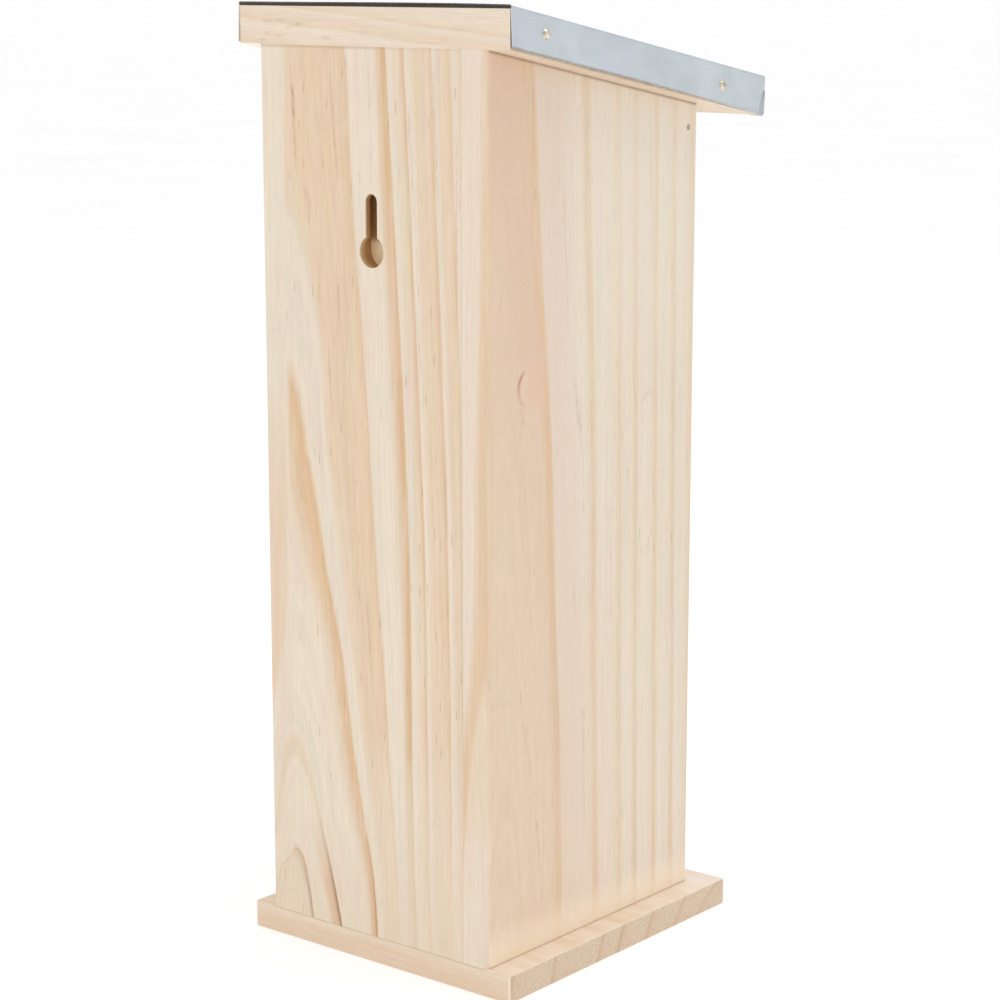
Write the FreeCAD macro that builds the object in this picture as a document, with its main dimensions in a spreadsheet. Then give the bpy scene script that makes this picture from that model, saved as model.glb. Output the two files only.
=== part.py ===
import FreeCAD, Part
import Sketcher
import math
import os
from FreeCAD import Vector, Rotation, Placement

# Bee hotel: a narrow pine box on a base plate, with a sloping roof under a folded
# metal sheet, a keyhole in the back for hanging, three bays of hollow canes and a
# framed front that swings up on two pivot nails.
#
# Frame, in millimetres: origin at the middle of the base plate's underside, +Z up,
# +Y to the back (the hanging face), -Y to the front, +X to the right of someone
# who faces the front.

doc = FreeCAD.newDocument("bee_hotel")
sheet = doc.addObject("Spreadsheet::Sheet", "dims")


class Dim:
    """A size with its value and the expression that binds it to the sheet."""

    def __init__(self, v, e):
        self.v = float(v)
        self.e = e

    @staticmethod
    def of(a):
        return a if isinstance(a, Dim) else Dim(a, repr(float(a)))

    def __add__(self, o):
        o = Dim.of(o)
        return Dim(self.v + o.v, "(%s + %s)" % (self.e, o.e))

    __radd__ = __add__

    def __sub__(self, o):
        o = Dim.of(o)
        return Dim(self.v - o.v, "(%s - %s)" % (self.e, o.e))

    def __rsub__(self, o):
        return Dim.of(o) - self

    def __mul__(self, o):
        o = Dim.of(o)
        return Dim(self.v * o.v, "(%s * %s)" % (self.e, o.e))

    __rmul__ = __mul__

    def __truediv__(self, o):
        o = Dim.of(o)
        return Dim(self.v / o.v, "(%s / %s)" % (self.e, o.e))

    def __neg__(self):
        return Dim(-self.v, "(0 - %s)" % self.e)


def root(a):
    return Dim(math.sqrt(a.v), "sqrt(%s)" % a.e)


row = [0]


def size(alias, value, note):
    row[0] += 1
    sheet.set("A%d" % row[0], note)
    sheet.set("B%d" % row[0], "%g" % value)
    sheet.setAlias("B%d" % row[0], alias)
    return Dim(value, "dims." + alias)


# ------------------------------------------------------------------ driving sizes
base_w = size("base_w", 120, "base plate, width")
base_d = size("base_d", 128.5, "base plate, depth")
base_t = size("base_t", 10, "base plate, thickness")
base_ease = size("base_ease", 0.8, "base plate, rounding of the edges")

body_w = size("body_w", 101, "body, width over the side panels")
body_d = size("body_d", 117, "body, depth of the side panels")
board_t = size("board_t", 11, "side and back boards, thickness")
rear_z = size("rear_z", 320.4, "height of the walls at the rear")
roof_fall = size("roof_fall", 21.4, "fall of the roof over the body's depth")
rear_arris = size("rear_arris", 3, "rounding of the left side panel's rear outer edge")
back_arris = size("back_arris", 1.2, "rounding of the back panel's free upright edge")
front_arris = size("front_arris", 1.2, "rounding of the side panels' front outer edges")

roof_w = size("roof_w", 119.4, "roof board, width")
roof_t = size("roof_t", 12.8, "roof board, thickness")
roof_over = size("roof_over", 25.7, "roof board, overhang at the front, level, on its underside")
felt_t = size("felt_t", 0.9, "underlay, thickness")
felt_in = size("felt_in", 0.2, "underlay, how far its edges stay inside the board's")
zinc_t = size("zinc_t", 0.4, "roof sheet, thickness")
zinc_gap = size("zinc_gap", 0.15, "roof sheet, gap between flange and board")
zinc_up = size("zinc_up", 0.8,"roof sheet, flange edge above the board's underside")
zinc_bend = size("zinc_bend", 0.9, "roof sheet, outer bend radius")

key_head_r = size("key_head_r", 5.4, "keyhole, radius of the entry")
key_neck_w = size("key_neck_w", 5.2, "keyhole, width of the neck")
key_z = size("key_z", 252.5, "keyhole, height of the entry's centre")
key_run = size("key_run", 16.8, "keyhole, entry centre to the end of the neck's centre line")
key_lip = size("key_lip", 2.4, "keyhole, thickness of the lip")
key_deep = size("key_deep", 6.6, "keyhole, whole depth")
key_under_r = size("key_under_r", 5.7, "keyhole, radius of the undercut")

door_t = size("door_t", 11, "front frame, thickness")
door_gap = size("door_gap", 0.75, "front frame, gap at each side")
door_lift = size("door_lift", 1.2, "front frame, gap over the base plate")
door_top = size("door_top", 297, "front frame, height of its top edge")
stile_w = size("stile_w", 11, "front frame, width of a stile")
top_rail_h = size("top_rail_h", 27, "front frame, height of the top rail")
mid_rail_h = size("mid_rail_h", 14, "front frame, height of a middle rail")
low_rail_h = size("low_rail_h", 20, "front frame, height of the bottom rail")
tenon_l = size("tenon_l", 7, "front frame, length of a tenon")
tenon_t = size("tenon_t", 4, "front frame, thickness of a tenon")
tenon_h = size("tenon_h", 10, "front frame, height of a tenon")
tenon_up = size("tenon_up", 2, "front frame, tenon above the rail's lower edge")
mortise_gap = size("mortise_gap", 0.2, "front frame, room at a mortise's bottom")
door_ease = size("door_ease", 0.8, "front frame, rounding of the edges")

pivot_h = size("pivot_h", 291, "pivot, height")
pivot_r = size("pivot_r", 0.75, "pivot nail, shank radius")
pivot_len = size("pivot_len", 20, "pivot nail, whole length")
pivot_head_r = size("pivot_head_r", 1.05, "pivot nail, head radius")
pivot_head_t = size("pivot_head_t", 0.9, "pivot nail, head thickness")
pivot_sunk = size("pivot_sunk", 0.25, "pivot nail, how far the head is sunk")
pivot_run = size("pivot_run", 0.06, "pivot, radial clearance in the frame")

shelf_t = size("shelf_t", 8, "shelf, thickness")
shelf_in = size("shelf_in", 3, "shelf, depth of the housing in each side")
shelf_back = size("shelf_back", 0.3, "shelf, front edge behind the closed frame")

rnail_r = size("rnail_r", 1, "roof board nail, shank radius")
rnail_in = size("rnail_in", 19, "roof board nail, length in the wall")
rnail_head_r = size("rnail_head_r", 2.2, "roof board nail, head radius")
rnail_head_t = size("rnail_head_t", 1, "roof board nail, head thickness")

snail_r = size("snail_r", 0.7, "sheet nail, shank radius")
snail_len = size("snail_len", 13, "sheet nail, length under the head")
snail_dome_r = size("snail_dome_r", 2.05, "sheet nail, radius of the dome's sphere")
snail_lat = size("snail_lat", 22, "sheet nail, latitude where the dome is cut off, degrees")

screw_r = size("screw_r", 1.75, "base screw, shank radius")
screw_len = size("screw_len", 30, "base screw, whole length")
screw_head_r = size("screw_head_r", 3.5, "base screw, head radius")
screw_cone = size("screw_cone", 2.2, "base screw, height of the countersunk head")
screw_sunk = size("screw_sunk", 0.3, "base screw, how far the head is sunk")

cane_rear = size("cane_rear", 0.25, "canes, gap to the back panel")

doc.recompute()

# ------------------------------------------------------------------ derived sizes
rear_y = base_d / 2                       # hanging face: back, roof and base end here
front_y = rear_y - body_d                 # front edges of the side panels
slope = roof_fall / body_d                # fall of the roof per unit of depth
run = root(slope * slope + 1)             # slope length per unit of depth
inner_w = body_w - 2 * board_t
inner_y = rear_y - board_t                # inner face of the back panel
door_in = front_y + door_t                # inner face of the closed front frame
pivot_y = front_y + door_t / 2
door_w = inner_w - 2 * door_gap
window_w = door_w - 2 * stile_w
door_low = base_t + door_lift
window_h = (door_top - door_low - top_rail_h - low_rail_h - 2 * mid_rail_h) / 3
lower_rail_z = door_low + low_rail_h + window_h
upper_rail_z = lower_rail_z + mid_rail_h + window_h
top_rail_z = door_top - top_rail_h
angle = math.degrees(math.atan(slope.v))
uphill = Vector(0, math.cos(math.radians(angle)), math.sin(math.radians(angle)))
normal = Vector(0, -math.sin(math.radians(angle)), math.cos(math.radians(angle)))


def wall_top(y):
    """Height of the walls' top edges, and of the roof board's underside, at depth y."""
    return rear_z - (rear_y - y) * slope


# ------------------------------------------------------------------ helpers
def make_body(name):
    return doc.addObject("PartDesign::Body", name)


def origin_plane(body, role):
    for f in body.Origin.OriginFeatures:
        if f.Role == role:
            return f
    raise RuntimeError("no plane " + role)


def make_sketch(body, name, role, offset=None):
    sk = body.newObject("Sketcher::SketchObject", name)
    sk.AttachmentSupport = [(origin_plane(body, role), "")]
    sk.MapMode = "FlatFace"
    if offset is not None:
        sk.AttachmentOffset = Placement(Vector(0, 0, offset.v), Rotation())
        sk.setExpression("AttachmentOffset.Base.z", offset.e)
    return sk


def fix_point(sk, geo, pos, x, y, tag):
    """Ties a point of the sketch to the sketch's origin by two bound distances."""
    for kind, d, axis in (("DistanceX", Dim.of(x), -2), ("DistanceY", Dim.of(y), -1)):
        if abs(d.v) < 1e-9:
            sk.addConstraint(Sketcher.Constraint("PointOnObject", geo, pos, axis))
        else:
            i = sk.addConstraint(Sketcher.Constraint(kind, -1, 1, geo, pos, d.v))
            name = "%s_%s" % (tag, kind[-1].lower())
            sk.renameConstraint(i, name)
            sk.setExpression("Constraints." + name, d.e)


def draw_polygon(sk, pts, tag="p"):
    pts = [(Dim.of(a), Dim.of(b)) for a, b in pts]
    n = len(pts)
    first = None
    for i in range(n):
        a, b = pts[i], pts[(i + 1) % n]
        g = sk.addGeometry(Part.LineSegment(Vector(a[0].v, a[1].v, 0), Vector(b[0].v, b[1].v, 0)), False)
        first = g if first is None else first
    for i in range(n):
        sk.addConstraint(Sketcher.Constraint("Coincident", first + i, 2, first + (i + 1) % n, 1))
    for i in range(n):
        fix_point(sk, first + i, 1, pts[i][0], pts[i][1], "%s%d" % (tag, i))


def draw_rect(sk, x0, x1, y0, y1, tag="r"):
    draw_polygon(sk, [(x0, y0), (x1, y0), (x1, y1), (x0, y1)], tag)


def draw_circle(sk, x, y, r, tag="c"):
    x, y, r = Dim.of(x), Dim.of(y), Dim.of(r)
    g = sk.addGeometry(Part.Circle(Vector(x.v, y.v, 0), Vector(0, 0, 1), r.v), False)
    fix_point(sk, g, 3, x, y, tag)
    i = sk.addConstraint(Sketcher.Constraint("Radius", g, r.v))
    sk.renameConstraint(i, tag + "_r")
    sk.setExpression("Constraints." + tag + "_r", r.e)


def make_pad(body, sk, length, both=False, back=False):
    f = body.newObject("PartDesign::Pad", sk.Name + "_pad")
    f.Profile = sk
    length = Dim.of(length)
    f.Length = length.v
    f.setExpression("Length", length.e)
    f.Midplane = both
    f.Reversed = back
    doc.recompute()
    return f


def make_pocket(body, sk, length, back=False, both=False):
    """Cuts a pocket and makes sure that it took material away."""
    before = body.Shape.Volume
    f = body.newObject("PartDesign::Pocket", sk.Name + "_pocket")
    f.Profile = sk
    length = Dim.of(length)
    f.Type = "Length"
    f.Length = length.v
    f.setExpression("Length", length.e)
    f.Midplane = both
    f.Reversed = back
    doc.recompute()
    if not body.Shape.Volume < before - 1e-3:
        raise RuntimeError("pocket cut nothing: " + f.Name)
    return f


def edges_where(shape, test):
    """Names of the straight edges whose two end points both pass the test."""
    out = []
    for i, e in enumerate(shape.Edges, 1):
        if len(e.Vertexes) == 2 and all(test(v.Point) for v in e.Vertexes):
            out.append("Edge%d" % i)
    return out


def make_fillet(body, base, names, radius):
    f = body.newObject("PartDesign::Fillet", body.Name + "_round%d" % len(body.Group))
    f.Base = (base, names)
    f.Radius = radius.v
    f.setExpression("Radius", radius.e)
    doc.recompute()
    return f


def near(a, b, eps=1e-4):
    return abs(a - b) < eps


def put(obj, x=0, y=0, z=0, rotation=None):
    """Places an object; the position is bound to the sheet."""
    x, y, z = Dim.of(x), Dim.of(y), Dim.of(z)
    obj.Placement = Placement(Vector(x.v, y.v, z.v), rotation or Rotation())
    for axis, d in (("x", x), ("y", y), ("z", z)):
        obj.setExpression("Placement.Base." + axis, d.e)


def make_cylinder(name, radius, height, x, y, z, rotation=None):
    c = doc.addObject("Part::Cylinder", name)
    radius, height = Dim.of(radius), Dim.of(height)
    c.Radius = radius.v
    c.Height = height.v
    c.setExpression("Radius", radius.e)
    c.setExpression("Height", height.e)
    put(c, x, y, z, rotation)
    return c


def make_fuse(name, a, b):
    f = doc.addObject("Part::Fuse", name)
    f.Base = a
    f.Tool = b
    return f


def make_cut(name, a, b):
    f = doc.addObject("Part::Cut", name)
    f.Base = a
    f.Tool = b
    return f


def make_group(name, items):
    f = doc.addObject("Part::Compound", name)
    f.Links = items
    return f


nodes = []


def node(obj, label):
    obj.Label = label
    nodes.append(obj)
    return obj


to_x = Rotation(Vector(0, 1, 0), 90)      # turns +Z to +X
to_minus_x = Rotation(Vector(0, 1, 0), -90)
to_y = Rotation(Vector(1, 0, 0), -90)     # turns +Z to +Y
to_minus_y = Rotation(Vector(1, 0, 0), 90)
to_roof = Rotation(Vector(1, 0, 0), angle)  # turns +Z to the roof's normal

# ------------------------------------------------------------------ nails of the roof board
# Driven square to the roof board into the top edges of the walls, heads flush with
# the board's upper face.
nail_list = []
wall_x = body_w / 2 - board_t / 2
for i, (nx, ny) in enumerate([(-wall_x, Dim.of(40)), (-wall_x, Dim.of(-28)), (wall_x, Dim.of(40)),
                              (wall_x, Dim.of(-28)), (Dim.of(-22), Dim.of(57.5)), (Dim.of(22), Dim.of(57.5))]):
    foot = Vector(nx.v, ny.v, wall_top(ny).v)
    low = foot - normal * rnail_in.v
    shank = make_cylinder("roof_nail_shank%d" % i, rnail_r, rnail_in + roof_t - rnail_head_t / 2,
                          low.x, low.y, low.z, to_roof)
    top = foot + normal * (roof_t.v - rnail_head_t.v)
    head = make_cylinder("roof_nail_head%d" % i, rnail_head_r, rnail_head_t, top.x, top.y, top.z, to_roof)
    nail_list.append(make_fuse("roof_nail%d" % i, shank, head))
roof_nails = make_group("roof_nails_all", nail_list)

# ------------------------------------------------------------------ screws of the base plate
# Countersunk from below into the lower edges of the walls, with a cross recess.
plain_screws = []
cross_screws = []
for i, (sx, sy) in enumerate([(-wall_x, Dim.of(38)), (-wall_x, Dim.of(-36)), (wall_x, Dim.of(38)),
                              (wall_x, Dim.of(-36)), (Dim.of(-22), rear_y - board_t / 2), (Dim.of(22), rear_y - board_t / 2)]):
    shank = make_cylinder("screw_shank%d" % i, screw_r, screw_len - screw_cone / 2, sx, sy, screw_sunk + screw_cone / 2)
    cone = doc.addObject("Part::Cone", "screw_cone%d" % i)
    for prop, d in (("Radius1", screw_head_r), ("Radius2", screw_r), ("Height", screw_cone)):
        setattr(cone, prop, d.v)
        cone.setExpression(prop, d.e)
    put(cone, sx, sy, screw_sunk)
    # the hole below the sunk head
    mouth = make_cylinder("screw_mouth%d" % i, screw_head_r, screw_sunk, sx, sy, 0)
    body_of_screw = make_fuse("screw_plain%d" % i, shank, cone)
    plain_screws.append(make_fuse("screw_seat%d" % i, body_of_screw, mouth))
    arms = []
    for k, (lx, ly) in enumerate([(3.2, 0.9), (0.9, 3.2)]):
        arm = doc.addObject("Part::Box", "screw_arm%d_%d" % (i, k))
        arm.Length, arm.Width = lx, ly
        arm.Height = 1.7
        arm.setExpression("Height", (screw_sunk + 1.4).e)
        put(arm, sx - lx / 2, sy - ly / 2, 0)
        arms.append(arm)
    cross_screws.append(make_cut("screw%d" % i, body_of_screw, make_fuse("screw_cross%d" % i, arms[0], arms[1])))
screw_seats = make_group("screw_seats_all", plain_screws)

# ------------------------------------------------------------------ pivot nails of the front frame
pivots = {}
seats = {}
for side, sign, turn in (("left", -1, to_x), ("right", 1, to_minus_x)):
    out = body_w / 2 - pivot_sunk
    shank = make_cylinder("pivot_shank_" + side, pivot_r, pivot_len, sign * out, pivot_y, pivot_h, turn)
    head = make_cylinder("pivot_head_" + side, pivot_head_r, pivot_head_t, sign * out, pivot_y, pivot_h, turn)
    pivots[side] = make_fuse("pivot_" + side, shank, head)
    mouth = make_cylinder("pivot_mouth_" + side, pivot_head_r, pivot_sunk + pivot_head_t,
                          sign * (body_w / 2), pivot_y, pivot_h, turn)
    seats[side] = make_fuse("pivot_seat_" + side, pivots[side], mouth)

# ------------------------------------------------------------------ nails of the roof sheet
# Domed nails: two through each side flange, two through the front flange.
dome_nails = []
flange_x = roof_w / 2 + zinc_gap + zinc_t


def dome_nail(i, at, turn, inward):
    # at: point on the flange's outer face; the dome points out, the shank points in
    cap = doc.addObject("Part::Sphere", "sheet_nail_dome%d" % i)
    cap.Radius = snail_dome_r.v
    cap.setExpression("Radius", snail_dome_r.e)
    cap.Angle1 = snail_lat.v
    cap.setExpression("Angle1", snail_lat.e)
    drop = snail_dome_r.v * math.sin(math.radians(snail_lat.v))
    cap.Placement = Placement(at + inward * drop, turn)
    shank = doc.addObject("Part::Cylinder", "sheet_nail_shank%d" % i)
    shank.Radius = snail_r.v
    shank.setExpression("Radius", snail_r.e)
    shank.Height = snail_len.v + 0.4
    shank.setExpression("Height", (snail_len + 0.4).e)
    shank.Placement = Placement(at + inward * snail_len.v, turn)
    return make_fuse("sheet_nail%d" % i, shank, cap)


i = 0
for sign, turn in ((-1, to_minus_x), (1, to_x)):
    for ny, up in ((46.4, 8.0), (-54.0, 6.7)):
        at = Vector(sign * flange_x.v, ny, wall_top(Dim.of(ny)).v + up)
        dome_nails.append(dome_nail(i, at, turn, Vector(-sign, 0, 0)))
        i += 1
front_low = Vector(0, front_y.v - roof_over.v, wall_top(front_y - roof_over).v)
for nx in (-38.0, 38.0):
    at = front_low + normal * 6.6 - uphill * (zinc_gap.v + zinc_t.v) + Vector(nx, 0, 0)
    dome_nails.append(dome_nail(i, at, Rotation(Vector(0, 0, 1), -uphill), uphill))
    i += 1
sheet_nails = make_group("sheet_nails_all", dome_nails)

# ------------------------------------------------------------------ base plate
b = make_body("base_blank")
sk = make_sketch(b, "base_outline", "XY_Plane")
draw_rect(sk, -(base_w / 2), base_w / 2, -(base_d / 2), base_d / 2)
pad = make_pad(b, sk, base_t)
make_fillet(b, pad, ["Edge%d" % k for k in range(1, len(pad.Shape.Edges) + 1)], base_ease)
base_plate = node(make_cut("base_cut", b, screw_seats), "base_plate")
node(make_group("screws", cross_screws), "base_screws")

# ------------------------------------------------------------------ back panel with its keyhole
# It butts against the left side panel and covers the rear edge of the right one.
b = make_body("back_blank")
sk = make_sketch(b, "back_profile", "YZ_Plane", -(inner_w / 2))
draw_polygon(sk, [(inner_y, base_t), (rear_y, base_t), (rear_y, rear_z), (inner_y, wall_top(inner_y))])
pad = make_pad(b, sk, inner_w + board_t)
free_edge = edges_where(pad.Shape, lambda p: near(p.x, (body_w / 2).v) and near(p.y, rear_y.v))
make_fillet(b, pad, free_edge, back_arris)
# the entry and the neck go to the whole depth; sketches lie on the hanging face
sk = make_sketch(b, "key_entry", "XZ_Plane", -rear_y)
draw_circle(sk, 0, key_z, key_head_r)
make_pocket(b, sk, key_deep, back=True)
sk = make_sketch(b, "key_neck", "XZ_Plane", -rear_y)
draw_rect(sk, -(key_neck_w / 2), key_neck_w / 2, key_z, key_z + key_run)
make_pocket(b, sk, key_deep, back=True)
sk = make_sketch(b, "key_neck_end", "XZ_Plane", -rear_y)
draw_circle(sk, 0, key_z + key_run, key_neck_w / 2)
make_pocket(b, sk, key_deep, back=True)
# the undercut behind the lip takes the screw's head
under = -(rear_y - key_lip)
sk = make_sketch(b, "key_under_entry", "XZ_Plane", under)
draw_circle(sk, 0, key_z, key_under_r)
make_pocket(b, sk, key_deep - key_lip, back=True)
sk = make_sketch(b, "key_under_run", "XZ_Plane", under)
draw_rect(sk, -key_under_r, key_under_r, key_z, key_z + key_run)
make_pocket(b, sk, key_deep - key_lip, back=True)
sk = make_sketch(b, "key_under_end", "XZ_Plane", under)
draw_circle(sk, 0, key_z + key_run, key_under_r)
make_pocket(b, sk, key_deep - key_lip, back=True)
back_cut = make_cut("back_cut", b, make_group("back_fixings", [nail_list[4], nail_list[5], plain_screws[4], plain_screws[5]]))
node(back_cut, "back_panel")

# ------------------------------------------------------------------ side panels
shelf_zs = [lower_rail_z + mid_rail_h / 2 - shelf_t / 2, upper_rail_z + mid_rail_h / 2 - shelf_t / 2]
shelf_front = door_in + shelf_back
for side, sign in (("left", -1), ("right", 1)):
    b = make_body(side + "_side_blank")
    sk = make_sketch(b, side + "_side_profile", "YZ_Plane")
    end_y = rear_y if sign < 0 else inner_y
    draw_polygon(sk, [(front_y, base_t), (end_y, base_t), (end_y, wall_top(end_y)), (front_y, wall_top(front_y))])
    pad = make_pad(b, sk, board_t)
    outer = 0.0 if sign < 0 else board_t.v
    inner = board_t if sign < 0 else Dim.of(0)
    # housings for the shelves in the inner face
    for k, sz in enumerate(shelf_zs):
        sk = make_sketch(b, "%s_housing%d" % (side, k), "YZ_Plane", inner if sign < 0 else None)
        draw_rect(sk, shelf_front, inner_y, sz, sz + shelf_t)
        last = make_pocket(b, sk, shelf_in, back=(sign > 0))
    # long outer edges, rounded
    if sign < 0:
        rear_edges = edges_where(last.Shape, lambda p: near(p.x, outer) and near(p.y, rear_y.v))
        last = make_fillet(b, last, rear_edges, rear_arris)
    front_edges = edges_where(last.Shape, lambda p: near(p.x, outer) and near(p.y, front_y.v))
    make_fillet(b, last, front_edges, front_arris)
    put(b, -(body_w / 2) if sign < 0 else body_w / 2 - board_t, 0, 0)
    k = 0 if sign < 0 else 2
    fixings = make_group(side + "_fixings", [nail_list[k], nail_list[k + 1], plain_screws[k], plain_screws[k + 1], seats[side]])
    node(make_cut(side + "_side_cut", b, fixings), side + "_side_panel")
node(pivots["left"], "left_pivot_nail")
node(pivots["right"], "right_pivot_nail")

# ------------------------------------------------------------------ shelves
for name, sz in (("lower_shelf", shelf_zs[0]), ("upper_shelf", shelf_zs[1])):
    b = make_body(name + "_body")
    sk = make_sketch(b, name + "_outline", "XY_Plane")
    draw_rect(sk, -(inner_w / 2 + shelf_in), inner_w / 2 + shelf_in, shelf_front, inner_y)
    make_pad(b, sk, shelf_t)
    put(b, 0, 0, sz)
    node(b, name)

# ------------------------------------------------------------------ roof
# Seen from the side the roof is a stack of strips, cut plumb at the hanging face and
# square to the slope at the front. at(d, u) is the point at level distance d behind
# the board's front lower edge, u above the board's underside, square to it.
roof_front = front_y - roof_over


def square_up(y, u):
    """Point reached from the underside at depth y by going u square to the slope."""
    return (y - u * slope / run, wall_top(y) + u / run)


def plumb_up(u):
    """Point on the hanging face whose distance from the underside's plane is u."""
    return (rear_y, rear_z + u * run)


b = make_body("roof_blank")
sk = make_sketch(b, "roof_profile", "YZ_Plane")
draw_polygon(sk, [square_up(roof_front, Dim.of(0)), plumb_up(Dim.of(0)), plumb_up(roof_t), square_up(roof_front, roof_t)])
make_pad(b, sk, roof_w, both=True)
node(make_cut("roof_cut", b, make_group("roof_fixings", [roof_nails, sheet_nails])), "roof_board")
node(roof_nails, "roof_board_nails")

b = make_body("roof_felt")
sk = make_sketch(b, "felt_profile", "YZ_Plane")
felt_front = roof_front + felt_in / run
draw_polygon(sk, [square_up(felt_front, roof_t), plumb_up(roof_t), plumb_up(roof_t + felt_t), square_up(felt_front, roof_t + felt_t)])
make_pad(b, sk, roof_w - 2 * felt_in, both=True)
node(b, "roof_underlay")

# the folded sheet: a block of its outer shape, hollowed from below and at the rear
b = make_body("sheet_blank")
sk = make_sketch(b, "sheet_outer", "YZ_Plane")
sheet_top = roof_t + felt_t + zinc_t
sheet_front = roof_front - (zinc_gap + zinc_t) / run
draw_polygon(sk, [square_up(sheet_front, zinc_up), plumb_up(zinc_up), plumb_up(sheet_top), square_up(sheet_front, sheet_top)])
pad = make_pad(b, sk, 2 * flange_x, both=True)
# outer bends: along both sides and along the front of the top, and the two front corners
top_rear = plumb_up(sheet_top)
top_front = square_up(sheet_front, sheet_top)
low_front = square_up(sheet_front, zinc_up)


def is_at(p, q):
    return near(p.y, q[0].v, 1e-3) and near(p.z, q[1].v, 1e-3)


bends = edges_where(pad.Shape, lambda p: is_at(p, top_rear) or is_at(p, top_front))
bends = [n for n in bends if not all(is_at(v.Point, top_rear) for v in pad.Shape.Edges[int(n[4:]) - 1].Vertexes)]
corners = edges_where(pad.Shape, lambda p: is_at(p, top_front) or is_at(p, low_front))
corners = [n for n in corners if n not in bends and not all(is_at(v.Point, low_front) for v in pad.Shape.Edges[int(n[4:]) - 1].Vertexes)]
make_fillet(b, pad, bends + corners, zinc_bend)
hollow = make_body("sheet_hollow")
sk = make_sketch(hollow, "sheet_inner", "YZ_Plane")
inner_front = roof_front - zinc_gap / run
far = Dim.of(20)
draw_polygon(sk, [square_up(inner_front, -far), (rear_y + far, rear_z + far * slope - far * run),
                  (rear_y + far, rear_z + far * slope + (roof_t + felt_t) * run), square_up(inner_front, roof_t + felt_t)])
pad = make_pad(hollow, sk, 2 * (flange_x - zinc_t), both=True)
in_front = square_up(inner_front, roof_t + felt_t)
in_low = square_up(inner_front, -far)
in_rear = (rear_y + far, rear_z + far * slope + (roof_t + felt_t) * run)
bends = edges_where(pad.Shape, lambda p: is_at(p, in_front) or is_at(p, in_rear))
bends = [n for n in bends if not all(is_at(v.Point, in_rear) for v in pad.Shape.Edges[int(n[4:]) - 1].Vertexes)]
corners = edges_where(pad.Shape, lambda p: is_at(p, in_front) or is_at(p, in_low))
corners = [n for n in corners if n not in bends and not all(is_at(v.Point, in_low) for v in pad.Shape.Edges[int(n[4:]) - 1].Vertexes)]
make_fillet(hollow, pad, bends + corners, zinc_bend - zinc_t)
sheet_shell = make_cut("sheet_shell", b, hollow)
node(make_cut("sheet_cut", sheet_shell, sheet_nails), "roof_sheet")
node(sheet_nails, "roof_sheet_nails")

# ------------------------------------------------------------------ front frame
# Stiles with stub mortises; rails with stub tenons. Each stile is drawn with its outer
# edge at x = 0 and its inner edge at x = stile_w.
rails = [("door_bottom_rail", door_low, low_rail_h, Dim.of(5)), ("door_lower_rail", lower_rail_z, mid_rail_h, tenon_up),
         ("door_upper_rail", upper_rail_z, mid_rail_h, tenon_up), ("door_top_rail", top_rail_z, top_rail_h, tenon_up)]
for side, sign in (("left", -1), ("right", 1)):
    b = make_body("door_%s_blank" % side)
    sk = make_sketch(b, "door_%s_face" % side, "XZ_Plane")
    draw_rect(sk, 0, stile_w, door_low, door_top)
    pad = make_pad(b, sk, door_t, both=True)
    for k, (rn, rz, rh, up) in enumerate(rails):
        sk = make_sketch(b, "door_%s_mortise%d" % (side, k), "YZ_Plane", stile_w)
        draw_rect(sk, -(tenon_t / 2), tenon_t / 2, rz + up, rz + up + tenon_h)
        last = make_pocket(b, sk, tenon_l + mortise_gap)
    sk = make_sketch(b, "door_%s_pivot" % side, "YZ_Plane")
    draw_circle(sk, 0, pivot_h, pivot_r + pivot_run)
    last = make_pocket(b, sk, Dim.of(9.5), back=True)
    # outer arrises and the top and bottom ends
    ease = edges_where(last.Shape, lambda p: near(abs(p.y), door_t.v / 2) and (near(p.x, 0) or near(p.z, door_top.v) or near(p.z, door_low.v)))
    ease = [n for n in ease if not all(near(v.Point.x, stile_w.v) for v in last.Shape.Edges[int(n[4:]) - 1].Vertexes)]
    make_fillet(b, last, ease, door_ease)
    if sign < 0:
        put(b, -(door_w / 2), pivot_y, 0)
    else:
        put(b, door_w / 2, pivot_y, 0, Rotation(Vector(0, 0, 1), 180))
    node(b, "door_%s_stile" % side)
for rn, rz, rh, up in rails:
    b = make_body(rn + "_blank")
    sk = make_sketch(b, rn + "_face", "XZ_Plane")
    draw_rect(sk, -(window_w / 2), window_w / 2, 0, rh)
    pad = make_pad(b, sk, door_t, both=True)
    long_edges = edges_where(pad.Shape, lambda p: near(abs(p.y), door_t.v / 2))
    long_edges = [n for n in long_edges if not near(pad.Shape.Edges[int(n[4:]) - 1].Vertexes[0].Point.x, pad.Shape.Edges[int(n[4:]) - 1].Vertexes[1].Point.x)]
    make_fillet(b, pad, long_edges, door_ease)
    sk = make_sketch(b, rn + "_tenons", "XZ_Plane")
    draw_rect(sk, -(window_w / 2 + tenon_l), window_w / 2 + tenon_l, up, up + tenon_h)
    make_pad(b, sk, tenon_t, both=True)
    put(b, 0, pivot_y, rz)
    node(b, rn)

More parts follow.
